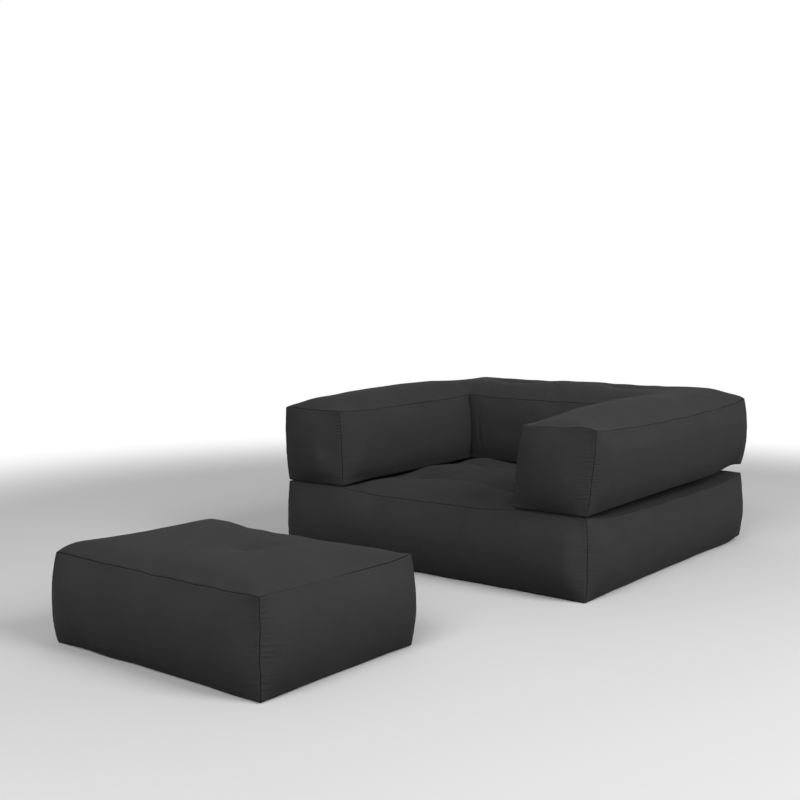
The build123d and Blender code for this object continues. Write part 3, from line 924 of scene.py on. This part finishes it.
def box_seams(half, depth):
    """Distance to the seams of a rectangular cushion."""
    return lambda x, y: np.minimum(half - abs(x), np.minimum(y, depth - y))


def surround_seams(x, y):
    """Distance to the seams of the U-shaped cushion, 0 inside the opening."""
    inside = (abs(x) < OPENING_HALF) & (y < OPENING_DEPTH)
    front = np.where(abs(x) >= OPENING_HALF, y, 1)
    edge = np.minimum(np.minimum(BASE_HALF - abs(x), BASE_DEPTH - y), front)
    return np.where(inside, 0, np.minimum(edge, opening_distance(x, y)))


print("surround seam distance on an arm:", round(float(surround_seams(0.4, 0.3)), 3))

# %% [markdown]
# ## Border panels
# A border's grid runs along its wall and up it. Besides the roll at its seams it has gathers beside the
# upright ones, slight lumps of stuffing, and ripples where the long seams gather it.


# %% Borders round a cushion
BORDER_LINES_ALONG, BORDER_LINES_UP = 0.006, 0.0022


def border_relief(side, u, v, length, height, seed):
    """How far the cloth of a border stands out, at its distances along and up, and to its nearest seam."""
    nearest = np.minimum(np.minimum(u, length - u), np.minimum(v, height - v))
    first, last = side["puckers"]
    ends = 1 - np.exp(-((np.minimum(v, height - v) / 0.006) ** 2))
    lift = seam_roll(nearest) + ends * (pucker(u, v, first, seed) + pucker(length - u, v, last, seed + 7))
    rim = 1 - np.exp(-((nearest / 0.012) ** 2))
    lift = lift + 0.0011 * rim * lumps(u, v, 0.23, seed + 3)
    long_gathers = 0.0006 * np.exp(-(height - v) / 0.03) + 0.0008 * np.exp(-v / 0.03)
    lift = lift + rim * long_gathers * gathers(u, 0.05, seed + 5)
    if side["folds"]:
        lift = lift + rim * side["folds"](u, v)
    return lift, nearest


def border_panel(cushion, side, seed, moved):
    """One border of a cushion, from its wall."""
    (x0, y0), (x1, y1) = side["from"], side["to"]
    length, height = math.hypot(x1 - x0, y1 - y0), cushion.height
    along, up = cloth_lines(0, length, BORDER_LINES_ALONG), cloth_lines(0, height, BORDER_LINES_UP)
    s, h = np.meshgrid(along / length, up / height, indexing="ij")
    smooth = border_points(side, cushion.upper, cushion.lower, s, h) + carried(moved, along, up)
    normals, turned = outward(smooth, np.array([*side["out"], 0.0]))
    lift, nearest = border_relief(side, s * length, h * height, length, height, seed)
    points = cushion.place(smooth + normals * lift[..., None])
    inside = cushion.place(smooth - LINING_DEPTH * normals)
    cells = np.ones((len(along) - 1, len(up) - 1), bool)
    grain = np.stack([s * length, h * height], axis=-1)
    few_along = few_lines(along, near=side["fine"])
    name = f"{cushion.name}_cover_{side['name']}"
    return shell(name, points, inside, turned, grain, cells, few_along, few_lines(up), nearest)


print("borders use lines", BORDER_LINES_ALONG * 1000, "mm apart along and", BORDER_LINES_UP * 1000, "mm up")

# %% [markdown]
# ## Sewing a cushion
# All three covers are sewn by the same steps: blow the coarse cushion up, make the large panels, then go
# round the borders. Each panel gets its cloth and its body, and stands for its measured node.
#
# The fronts of the base and of the arms swell past the fold. Those that fold out each get a mesh of their
# own;
# nothing flattens them towards the fold.


# %% From patterns to covers
def press_flat(piece, height, tilt):
    """Gives a front border a mesh of its own; it is not flattened here."""
    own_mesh(piece)


def dress(piece, body, node):
    """Gives a panel its cloth and its body, and lets it stand for its measured node."""
    piece.data.materials.append(cover_cloth)
    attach(piece, body)
    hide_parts(node)


def sew_cover(cushion):
    """Every panel of one cushion, on its body."""
    corners = [side[end] for side in cushion.walls for end in ("from", "to")]
    moves = blown_up(f"{cushion.name}_sim", cushion.patches(COARSE), corners, cushion.cap)
    for part in ("top", "bottom"):
        panel = plan_panel(cushion, part, moves[part])
        dress(panel, cushion.name, f"{cushion.name}_{part}_panel")
    for number, side in enumerate(cushion.walls):
        strip = border_panel(cushion, side, cushion.seed + number, moves[side["name"]])
        dress(strip, cushion.name, f"{cushion.name}_{side['name']}_border")
        if side["folds_out"] and side["name"].endswith("front"):
            press_flat(strip, *cushion.fold)
    covers = [o for o in bpy.data.objects if o.name.startswith(f"{cushion.name}_cover")]
    print(cushion.name, "cover:", len(covers), "panels,", sum(len(o.data.vertices) for o in covers), "points")


def box_patches(upper, lower, half, depth, height, walls, held):
    """Makes the coarse grids of a rectangular cushion. held(x, y) says where its top is pinned."""
    def at_pitch(pitch):
        lines_x, lines_y = even_lines(-half, half, pitch), even_lines(0, depth, pitch)
        x, y = np.meshgrid(lines_x, lines_y, indexing="ij")
        patches = {
            "top": coarse_patch(upper(x, y), lines_x, lines_y, np.array([0, 0, 1]), held(x, y)),
            "bottom": coarse_patch(lower(x, y), lines_x, lines_y, np.array([0, 0, -1]), np.ones(x.shape)),
        }
        for side in walls:
            patches[side["name"]] = wall_patch(side, upper, lower, height, lines_x, lines_y, pitch)
        return patches
    return at_pitch


def box_walls(half, depth, front, right, back, left):
    """The four borders of a rectangular cushion, each from its own settings."""
    return [
        wall("front", (-half, 0), (half, 0), (0, -1), **front),
        wall("right", (half, 0), (half, depth), (1, 0), **right),
        wall("back", (-half, depth), (half, depth), (0, 1), **back),
        wall("left", (-half, 0), (-half, depth), (-1, 0), **left),
    ]


print("a plain border has:", sorted(wall("plain", (0, 0), (1, 0), (0, -1), 0.03, (0, 0))))

# %% [markdown]
# ## The base's cover
# Four borders, a top and a bottom. The front and right borders are the ones in view. The front one is
# stuffed hardest, which shows as its belly over the floor.

# %% Sew the base
CLOTH_PITCH = 0.006
KNOT_HELD = 0.011
BASE_WALLS = box_walls(
    BASE_HALF, BASE_DEPTH,
    front=dict(bulge=0.041, bows=(0.006, 0.005), puckers=(0.0008, 0.0012), reach=(0.10, 0.06)),
    right=dict(bulge=0.030, bows=(0.005, 0.005), puckers=(0.0016, 0.0008)),
    back=dict(bulge=0.030, bows=(0.006, 0.005)),
    left=dict(bulge=0.030, bows=(0.006, 0.006)),
)


def seat_folds(x, y):
    """Short folds that run out from each tuft of the seat, and the soft unevenness of the top."""
    total = 0.0010 * lumps(x, y, 0.26, 11)
    for number, (cx, cy) in enumerate(SEAT_TUFTS):
        r, angle = np.hypot(x - cx, y - cy), np.arctan2(y - cy, x - cx)
        total = total + 0.0012 * np.cos(5 * angle + number) * bump_across(r, 0.035, 0.022)
    return total


def seat_held(x, y):
    """The base's top is pinned at its knots and wherever the surround lies on it."""
    under = (abs(x) > OPENING_HALF - ARM_MARGIN) | (y > OPENING_DEPTH - ARM_MARGIN)
    knots = sum(np.hypot(x - cx, y - cy) < KNOT_HELD for cx, cy in SEAT_TUFTS)
    return (under | (knots > 0)).astype(float)


base = SimpleNamespace(
    name="base", upper=base_upper, lower=base_lower, place=base_place, height=BASE_HEIGHT, walls=BASE_WALLS,
    patches=box_patches(base_upper, base_lower, BASE_HALF, BASE_DEPTH, BASE_HEIGHT, BASE_WALLS, seat_held),
    lines=(cloth_lines(-BASE_HALF, BASE_HALF, CLOTH_PITCH), cloth_lines(0, BASE_DEPTH, CLOTH_PITCH)),
    seams=box_seams(BASE_HALF, BASE_DEPTH), folds=seat_folds,
    kept_x=(), kept_y=(), near_x=(-0.195, 0.195), near_y=(0.225, 0.510, 0.875),
    cap=0.010, seed=20, fold=(0.0, 0.0),
)
sew_cover(base)

# %% [markdown]
# ## The pouf's cover
# The same six panels in small. The upright seam in front is gathered more on its right side, and the top
# seam of the right side is rolled under, so the painted shade of that seam fades there. Nothing folds out
# over the pouf, so its corners may bow to all sides.

# %% Sew the pouf
POUF_WALLS = box_walls(
    POUF_HALF, POUF_DEPTH,
    front=dict(bulge=0.032, bows=(0.008, 0.004), puckers=(0.0007, 0.0009), folds_out=False),
    right=dict(
        bulge=0.028, bows=(0.004, 0.005), puckers=(0.0026, 0.0009), reach=(0.08, 0.045), folds_out=False
    ),
    back=dict(bulge=0.026, bows=(0.008, 0.006), folds_out=False),
    left=dict(bulge=0.026, bows=(0.008, 0.008), folds_out=False),
)


def pouf_folds(x, y):
    """Short folds round the knot of the pouf, and the soft unevenness of its top."""
    r, angle = np.hypot(x - POUF_TUFT[0], y - POUF_TUFT[1]), np.arctan2(y - POUF_TUFT[1], x - POUF_TUFT[0])
    return 0.0008 * lumps(x, y, 0.22, 12) + 0.0008 * np.cos(5 * angle) * bump_across(r, 0.03, 0.02)


def pouf_held(x, y):
    """The pouf's top is pinned at its knot."""
    return (np.hypot(x - POUF_TUFT[0], y - POUF_TUFT[1]) < KNOT_HELD).astype(float)


def fade_painted_seam_shade(piece):
    """Raises the distance to the seam stored at points near the right top seam, so that the painted shade of
    that seam fades; no point moves.
    """
    values, places = piece.data.attributes["to_seam"].data, piece.data.vertices
    for item, vertex in zip(values, places):
        x, y, z = np.array(vertex.co) - np.array([*POUF_PLACE, 0])
        weight = ease((x - POUF_HALF + 0.03) / 0.02) * ease((z - 0.17) / 0.02)
        # a larger stored distance weakens the painted seam shade here
        item.value += 0.0013 * weight * ease((y - 0.01) / 0.03) * ease((0.30 - y) / 0.10)


pouf = SimpleNamespace(
    name="pouf", upper=pouf_upper, lower=pouf_lower, place=pouf_place, height=POUF_HEIGHT, walls=POUF_WALLS,
    patches=box_patches(pouf_upper, pouf_lower, POUF_HALF, POUF_DEPTH, POUF_HEIGHT, POUF_WALLS, pouf_held),
    lines=(cloth_lines(-POUF_HALF, POUF_HALF, CLOTH_PITCH), cloth_lines(0, POUF_DEPTH, CLOTH_PITCH)),
    seams=box_seams(POUF_HALF, POUF_DEPTH), folds=pouf_folds,
    kept_x=(), kept_y=(), near_x=POUF_TUFT[:1], near_y=POUF_TUFT[1:],
    cap=0.008, seed=40,
)
sew_cover(pouf)
for label in ("top", "right"):
    fade_painted_seam_shade(bpy.data.objects[f"pouf_cover_{label}"])

# %% [markdown]
# ## The surround's borders
# Eight borders run round the U: two arm fronts, two outer sides, the back, and three inside the
# opening. Where the opening's borders meet in a corner, both swell against each other and leave a deep
# crease, with a soft upright fold beside it on the back.

# %% Walls of the surround
B, O, D, Y = BASE_HALF, OPENING_HALF, BASE_DEPTH, OPENING_DEPTH
INNER_REACH, INNER_TUCK = 0.022, 0.016


def corner_fold(u, v):
    """Upright folds on the back, beside the inner left corner."""
    bend = 0.040 + 0.014 * (1 - v / SURROUND_HEIGHT) ** 2
    fade = ease(v / 0.06) * ease((0.20 - v) / 0.07)
    first = 0.0030 * bump_across(u, bend, 0.005) - 0.0022 * bump_across(u, bend + 0.010, 0.005)
    second = 0.0018 * bump_across(u, bend + 0.022, 0.006) * ease((0.16 - v) / 0.05)
    return (first + second) * fade


inner_side = dict(bows=(0.004, 0), reach=(0.10, INNER_REACH), tucks=(0, INNER_TUCK))
inner_back = dict(bows=(0, 0), reach=(INNER_REACH, INNER_REACH), tucks=(INNER_TUCK, INNER_TUCK))
SURROUND_WALLS = [
    wall("left_arm_front", (-B, 0), (-O, 0), (0, -1), 0.028, (0.006, 0.004), puckers=(0.0012, 0.0022)),
    wall("right_arm_front", (O, 0), (B, 0), (0, -1), 0.028, (0.004, 0.004), puckers=(0.0016, 0.0018)),
    wall("left", (-B, 0), (-B, D), (-1, 0), 0.024, (0.006, 0.006)),
    wall("right", (B, 0), (B, D), (1, 0), 0.024, (0.004, 0.009), puckers=(0.0024, 0.0012)),
    wall("back", (-B, D), (B, D), (0, 1), 0.024, (0.006, 0.009)),
    wall("opening_left", (-O, 0), (-O, Y), (1, 0), 0.022, puckers=(0.0028, 0.0004), **inner_side),
    wall("opening_right", (O, 0), (O, Y), (-1, 0), 0.020, puckers=(0.0010, 0.0004), **inner_side),
    wall(
        "opening_back", (-O, Y), (O, Y), (0, -1), 0.018, puckers=(0.0006, 0.0006),
        folds=corner_fold, fine=(0.06,), **inner_back,
    ),
]
print("surround walls:", [side["name"] for side in SURROUND_WALLS])

# %% [markdown]
# ## The surround's coarse cushion
# The U is one grid over the whole plan with the opening's cells left out. A place in the opening still
# needs a movement, or the smooth curves that carry it would be bent at the seam. It takes the movement of
# the nearest seam.


# %% Coarse grids of the surround
def line_number(lines, place):
    """Number of the grid line at a place."""
    return int(np.argmin(abs(lines - place)))


def nearest_seam(lines_x, lines_y):
    """For each grid place in the opening, the place on the nearest seam; elsewhere the place itself."""
    rows, columns = np.meshgrid(np.arange(len(lines_x)), np.arange(len(lines_y)), indexing="ij")
    x, y = np.meshgrid(lines_x, lines_y, indexing="ij")
    inside = (abs(x) < O - TINY) & (y < Y - TINY)
    beside = (O - abs(x)) < (Y - y)
    nearer_arm = np.where(x < 0, line_number(lines_x, -O), line_number(lines_x, O))
    rows = np.where(inside & beside, nearer_arm, rows)
    columns = np.where(inside & ~beside, line_number(lines_y, Y), columns)
    return rows, columns


def across_arms(lines):
    """Lines from side to side, with one at each wall of the opening."""
    return np.concatenate([lines(-B, -O), lines(-O, O)[1:], lines(O, B)[1:]])


def surround_patches(pitch):
    """Coarse grids of the U-shaped cushion."""
    lines_x = across_arms(lambda start, end: even_lines(start, end, pitch))
    lines_y = np.concatenate([even_lines(0, Y, pitch), even_lines(Y, D, pitch)[1:]])
    x, y = np.meshgrid(lines_x, lines_y, indexing="ij")
    middles = np.meshgrid((lines_x[1:] + lines_x[:-1]) / 2, (lines_y[1:] + lines_y[:-1]) / 2, indexing="ij")
    cells = surround_seams(*middles) > 0
    knots = sum(np.hypot(x - cx, y - cy) < 0.013 for cx, cy in BACK_TUFTS) > 0
    left, right, back = line_number(lines_x, -O), line_number(lines_x, O), line_number(lines_y, Y)
    edges = (
        np.s_[0, :], np.s_[-1, :], np.s_[:, -1], np.s_[:left + 1, 0], np.s_[right:, 0],
        np.s_[left, :back + 1], np.s_[right, :back + 1], np.s_[left:right + 1, back],
    )
    rest = (cells, edges, nearest_seam(lines_x, lines_y))
    up, down = np.array([0, 0, 1]), np.array([0, 0, -1])
    patches = {
        "top": coarse_patch(surround_upper(x, y), lines_x, lines_y, up, knots * 1.0, *rest),
        "bottom": coarse_patch(surround_lower(x, y), lines_x, lines_y, down, np.ones(x.shape), *rest),
    }
    for side in SURROUND_WALLS:
        shape = (side, surround_upper, surround_lower, SURROUND_HEIGHT)
        patches[side["name"]] = wall_patch(*shape, lines_x, lines_y, pitch)
    return patches


print("coarse lines from side to side:", len(across_arms(lambda start, end: even_lines(start, end, COARSE))))

# %% [markdown]
# ## The surround's cover
# With its walls and its grids known, it is sewn like the other two. Its inner side keeps the lines of the
# opening's walls, so that it ends where the cloth ends.


# %% Sew the surround
def back_folds(x, y):
    """Short folds round the knots of the back, and the soft unevenness of the whole top."""
    total = 0.0010 * lumps(x, y, 0.24, 13)
    for number, (cx, cy) in enumerate(BACK_TUFTS):
        r, angle = np.hypot(x - cx, y - cy), np.arctan2(y - cy, x - cx)
        total = total + 0.0014 * np.cos(5 * angle + number) * bump_across(r, 0.04, 0.025)
    return total


surround_lines = (
    across_arms(lambda start, end: cloth_lines(start, end, CLOTH_PITCH)),
    np.concatenate([cloth_lines(0, Y, CLOTH_PITCH), cloth_lines(Y, D, CLOTH_PITCH)[1:]]),
)
surround = SimpleNamespace(
    name="surround", upper=surround_upper, lower=surround_lower, place=surround_place,
    height=SURROUND_HEIGHT, walls=SURROUND_WALLS, patches=surround_patches, lines=surround_lines,
    seams=surround_seams, folds=back_folds,
    kept_x=(-O, O), kept_y=(Y,), near_x=(-0.21, 0.21), near_y=(0.868,),
    cap=0.008, seed=60, fold=(FOLD_HEIGHT, FOLD_TILT),
)
sew_cover(surround)

# %% [markdown]
# ## What is inside
# Under each cover lies a layer of wadding round a foam core. Nobody sees them, but a cushion that is
# opened or cut through has to be full. Both have a simple finish: one noise makes the pores of the foam
# or the fibres of the wadding, as bump and as a change of shade.


# %% Materials of the fillings
def stuffing(name, tone, scale, depth):
    """Foam with its pores, or wadding with its fibres."""
    material, tree, shader = new_material(name, 0.95)
    place = add_node(tree, "ShaderNodeTexCoord").outputs["Object"]
    noise = add_node(tree, "ShaderNodeTexNoise", {"Vector": place, "Scale": scale, "Detail": 4}).outputs[0]
    bump = add_node(tree, "ShaderNodeBump", {"Height": noise, "Distance": depth})
    shades = add_node(tree, "ShaderNodeValToRGB", {0: noise})
    shades.color_ramp.elements[0].color = (*[0.75 * value for value in tone], 1)
    shades.color_ramp.elements[1].color = (*tone, 1)
    tree.links.new(bump.outputs[0], shader.inputs["Normal"])
    tree.links.new(shades.outputs[0], shader.inputs["Base Color"])
    return material


foam = stuffing("foam", (0.75, 0.70, 0.55), 900, 0.0006)
wadding = stuffing("wadding", (0.85, 0.85, 0.83), 160, 0.002)
print("fillings are made of", foam.name, "and", wadding.name)

# %% [markdown]
# ## Cutting the fillings
# The fillings come from the same coarse cushion, moved inwards, so they follow every curve of the cover
# and never stand through it. Moving a point by the mean of its faces' normals, divided by the square of
# that mean's length, keeps the same depth behind flat cloth, edges and corners alike.
#
# The surround's foam is three blocks, cut at a slant where an arm meets the back. Foam is cut flat, so the
# swell of the fronts that fold out is the cover's own, and the blocks behind them end at the fold.


# %% Fillings
WADDING_DEPTH, FOAM_DEPTH, FILLING_PITCH = 0.013, 0.024, 0.020
LEAST_NORMAL = 0.25


def set_in(points, faces, depth):
    """Points of a closed mesh, moved inwards by a depth."""
    corners = np.array(faces)
    a, b, c, d = [points[corner] for corner in corners.T]
    normals = np.cross(c - a, d - b)
    normals /= np.maximum(np.linalg.norm(normals, axis=1, keepdims=True), 1e-12)
    total, count = np.zeros_like(points), np.zeros((len(points), 1))
    for corner in corners.T:
        np.add.at(total, corner, normals)
        np.add.at(count, corner, 1)
    mean = total / np.maximum(count, 1)
    return points - depth * mean / np.maximum(np.sum(mean**2, axis=1, keepdims=True), LEAST_NORMAL)


def filling(name, cushion, grids, depth, material, node, cuts=()):
    """One filling of a cushion. Each cut is a point and the way to the part that is taken off."""
    points, faces = sewn(grids)
    shape = bmesh.new()
    corners = [shape.verts.new(point) for point in set_in(points, faces, depth)]
    for face in faces:
        shape.faces.new([corners[k] for k in face])
    loose = [vertex for vertex in shape.verts if not vertex.link_faces]
    bmesh.ops.delete(shape, geom=loose, context="VERTS")
    for spot, way in cuts:
        whole = shape.verts[:] + shape.edges[:] + shape.faces[:]
        cut = bmesh.ops.bisect_plane(shape, geom=whole, plane_co=spot, plane_no=way, clear_outer=True)
        rim = [item for item in cut["geom_cut"] if isinstance(item, bmesh.types.BMEdge)]
        bmesh.ops.edgenet_fill(shape, edges=rim)
    for vertex in shape.verts:
        vertex.co = cushion.place(np.array(vertex.co))
    mesh = bpy.data.meshes.new(name)
    shape.to_mesh(mesh)
    shape.free()
    piece = bpy.data.objects.new(name, mesh)
    bpy.context.scene.collection.objects.link(piece)
    piece.data.materials.append(material)
    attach(piece, cushion.name)
    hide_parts(node)


for side in BASE_WALLS + SURROUND_WALLS:
    if side["name"].endswith("front"):
        side["bulge"] = 0.0
base_grids, pouf_grids, surround_grids = [c.patches(FILLING_PITCH) for c in (base, pouf, surround)]
for cushion, grids in ((base, base_grids), (pouf, pouf_grids), (surround, surround_grids)):
    filling(f"{cushion.name}_wadding_fill", cushion, grids, WADDING_DEPTH, wadding, f"{cushion.name}_wadding")
filling("base_foam_fill", base, base_grids, FOAM_DEPTH, foam, "base_foam_core")
filling("pouf_foam_fill", pouf, pouf_grids, FOAM_DEPTH, foam, "pouf_foam_core")
slant = np.array([B - O, D - Y]) / math.hypot(B - O, D - Y)
for name, cuts in (
    ("left_arm_foam", [((-O, Y, 0), (slant[1], slant[0], 0))]),
    ("right_arm_foam", [((O, Y, 0), (-slant[1], slant[0], 0))]),
    ("back_foam", [((-O, Y, 0), (-slant[1], -slant[0], 0)), ((O, Y, 0), (slant[1], -slant[0], 0))]),
):
    filling(f"{name}_fill", surround, surround_grids, FOAM_DEPTH, foam, name, cuts)

# %% [markdown]
# ## Knots
# At each tuft a loop of twine runs through the cushion, from just above its top to just below its
# underside. The loop is a path of points with a small round section carried along it. A curve with a
# bevel would do as well, but its mesh would have to be converted before it can ride on a body.


# %% Ties
TWINE_RADIUS, LOOP_HALF = 0.0009, 0.004
LOOP_POINTS, ROUND_POINTS = 48, 6
ABOVE, BELOW = np.array([0, 0, 0.0012]), np.array([0, 0, 0.0015])


def loop_path(low, high):
    """Points of one upright loop, from a low point up to a high one and back."""
    angle = 2 * math.pi * np.arange(LOOP_POINTS) / LOOP_POINTS
    c, s = np.cos(angle), np.sin(angle)
    middle = low + ease(ease((s + 1) / 2))[:, None] * (high - low)
    return middle + np.stack([LOOP_HALF * np.sign(c) * abs(c) ** 0.3, 0 * c, 0 * c], axis=-1)


def twine(cushion, spots):
    """Loops of twine through a cushion, one at each knot."""
    points, faces = [], []
    for x, y in spots:
        path = loop_path(cushion.lower(x, y) + BELOW, cushion.upper(x, y) + ABOVE)
        forward = np.roll(path, -1, axis=0) - np.roll(path, 1, axis=0)
        forward /= np.linalg.norm(forward, axis=1, keepdims=True)
        level = np.array([0, 1.0, 0])
        across = np.cross(forward, level)
        start = len(points)
        for k in range(LOOP_POINTS):
            for turn in range(ROUND_POINTS):
                a = 2 * math.pi * turn / ROUND_POINTS
                away = math.cos(a) * level + math.sin(a) * across[k]
                points.append(cushion.place(path[k] + TWINE_RADIUS * away))
                here = start + k * ROUND_POINTS
                there = start + (k + 1) % LOOP_POINTS * ROUND_POINTS
                after = (turn + 1) % ROUND_POINTS
                faces.append((here + turn, here + after, there + after, there + turn))
    mesh = bpy.data.meshes.new(f"{cushion.name}_ties")
    mesh.from_pydata([tuple(point) for point in points], [], faces)
    mesh.polygons.foreach_set("use_smooth", np.ones(len(mesh.polygons), bool))
    piece = bpy.data.objects.new(mesh.name, mesh)
    bpy.context.scene.collection.objects.link(piece)
    piece.data.materials.append(thread)
    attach(piece, cushion.name)
    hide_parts(f"{cushion.name}_tuft_ties")


thread = cotton("dark_twine", (0.035, 0.035, 0.035), 0.0005, seams=False)
for cushion, spots in ((base, SEAT_TUFTS), (pouf, [POUF_TUFT]), (surround, BACK_TUFTS)):
    twine(cushion, spots)
print("knots tied:", len(SEAT_TUFTS) + 1 + len(BACK_TUFTS))

# %% [markdown]
# ## Fold strips
# Between the base and each arm lies a folded strip of the cover cloth, sewn to both front edges. It is
# what the surround folds out on. Each leaf is a thin panel of its own, made by the same shell function
# as the covers, one on the base and one on the surround.

# %% Strips
LEAF_HALF, LEAF_DEPTH, LEAF_THICKNESS = 0.098, 0.025, 0.0007
BASE_LEAF_HEIGHT, SURROUND_LEAF_HEIGHT = 0.22295, -0.0001


def leaf(label, cushion, middle, height):
    """One leaf of a fold strip, lying flat under an arm's front edge."""
    lines_x, lines_y = np.linspace(middle - LEAF_HALF, middle + LEAF_HALF, 61), np.linspace(0, LEAF_DEPTH, 13)
    x, y = np.meshgrid(lines_x, lines_y, indexing="ij")
    top = np.stack([x, y, height + 0.00012 * gathers(x + y, 0.03, 71)], axis=-1)
    cells = np.ones((len(lines_x) - 1, len(lines_y) - 1), bool)
    grain, far = np.stack([x, y], axis=-1), np.ones(x.shape)
    under = cushion.place(top - np.array([0, 0, LEAF_THICKNESS]))
    few_x, few_y = few_lines(lines_x), few_lines(lines_y)
    name = f"{label}_strip_{cushion.name}_leaf"
    piece = shell(name, cushion.place(top), under, False, grain, cells, few_x, few_y, far)
    piece.data.materials.append(cover_cloth)
    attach(piece, cushion.name)
    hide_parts(f"{label}_fold_strip_{cushion.name}_leaf")


for label, side in (("left", -1), ("right", 1)):
    leaf(label, base, side * ARM_MIDDLE, BASE_LEAF_HEIGHT)
    leaf(label, surround, side * ARM_MIDDLE, SURROUND_LEAF_HEIGHT)
still_shown = [name for name, piece in frame["nodes"].items() if not piece.hide_render]
print("still shown from the measured model:", still_shown)

# %% [markdown]
# ## Floor
# The picture is a studio cut-out: white all round, with the soft shadow kept. The floor is pale for the
# camera and darker for the light that bounces, as a real floor is under a large dark cushion. Further
# out it turns to plain white, so that it has no edge against the white surroundings.


# %% Lay the floor
FLOOR_HALF = 12.0
WHITE_FROM, WHITE_AT = 1.9, 3.4


def is_seen(tree):
    """1 for rays that come from the camera, straight or by a mirror or through glass, else 0."""
    path = add_node(tree, "ShaderNodeLightPath").outputs
    seen = add_sum(tree, "MAXIMUM", path["Is Camera Ray"], path["Is Glossy Ray"])
    return add_sum(tree, "MAXIMUM", seen, path["Is Transmission Ray"])


def floor_material():
    """Pale for the camera, mid grey for bounced light, and white further out."""
    material, tree, shader = new_material("floor", 0.9)
    seen = is_seen(tree)
    tone = add_node(tree, "ShaderNodeMix", data_type="RGBA")
    tone.inputs[6].default_value = (0.15, 0.15, 0.15, 1)
    tone.inputs[7].default_value = (0.95, 0.95, 0.95, 1)
    tree.links.new(seen, tone.inputs[0])
    tree.links.new(tone.outputs[2], shader.inputs["Base Color"])
    place = add_node(tree, "ShaderNodeTexCoord").outputs["Object"]
    length = add_node(tree, "ShaderNodeVectorMath", {0: place}, operation="LENGTH").outputs["Value"]
    away = add_node(
        tree, "ShaderNodeMapRange", {"Value": length, "From Min": WHITE_FROM, "From Max": WHITE_AT},
        interpolation_type="SMOOTHSTEP",
    )
    white_share = add_sum(tree, "MULTIPLY", away.outputs[0], seen)
    white = add_node(tree, "ShaderNodeEmission").outputs[0]
    blend = add_node(tree, "ShaderNodeMixShader", {0: white_share, 1: shader.outputs[0], 2: white})
    tree.links.new(blend.outputs[0], tree.nodes["Material Output"].inputs["Surface"])
    return material


floor_mesh = bpy.data.meshes.new("floor")
floor_corners = [(FLOOR_HALF * x, FLOOR_HALF * y, 0) for x, y in ((-1, -1), (1, -1), (1, 1), (-1, 1))]
floor_mesh.from_pydata(floor_corners, [], [(0, 1, 2, 3)])
floor = bpy.data.objects.new("floor", floor_mesh)
bpy.context.scene.collection.objects.link(floor)
floor.data.materials.append(floor_material())
print("floor laid,", 2 * FLOOR_HALF, "m wide")

# %% [markdown]
# ## Lamps and surroundings
# Three square lamps light the cushions. A large one in front gives the fronts their even tone, one at
# the right makes the right sides a little paler, and a weak one behind keeps the back from going black.
# The world is white to the camera, but only a faint light of its own reaches the cloth.


# %% Place the lamps
def softbox(name, place, target, size, power):
    """Square soft light that looks at a point."""
    data = bpy.data.lights.new(name, "AREA")
    data.shape = "SQUARE"
    data.size = size
    data.energy = power
    lamp = bpy.data.objects.new(name, data)
    lamp.location = place
    aim = np.array(target) - np.array(place)
    steep, turn = math.acos(-aim[2] / np.linalg.norm(aim)), math.atan2(aim[1], aim[0]) - math.pi / 2
    lamp.rotation_euler = (steep, 0, turn)
    bpy.context.scene.collection.objects.link(lamp)


softbox("front", (1.9, -6.6, 4.6), (0, -0.4, 0.2), 4.2, 232)
softbox("right", (4.5, -0.8, 3.1), (0, -0.3, 0.2), 2.6, 140)
softbox("back", (-3.6, 3.4, 2.6), (0, 0, 0.2), 2.6, 12)

world = bpy.data.worlds.new("studio")
bpy.context.scene.world = world
world.use_nodes = True
studio = world.node_tree
ambient = studio.nodes["Background"]
ambient.inputs["Color"].default_value = (1, 1, 1, 1)
ambient.inputs["Strength"].default_value = 0.16
shown = add_node(studio, "ShaderNodeBackground", {"Color": (1, 1, 1, 1)}).outputs[0]
mixed = add_node(studio, "ShaderNodeMixShader", {0: is_seen(studio), 1: ambient.outputs[0], 2: shown})
studio.links.new(mixed.outputs[0], studio.nodes["World Output"].inputs["Surface"])
bpy.context.scene.view_settings.view_transform = "Standard"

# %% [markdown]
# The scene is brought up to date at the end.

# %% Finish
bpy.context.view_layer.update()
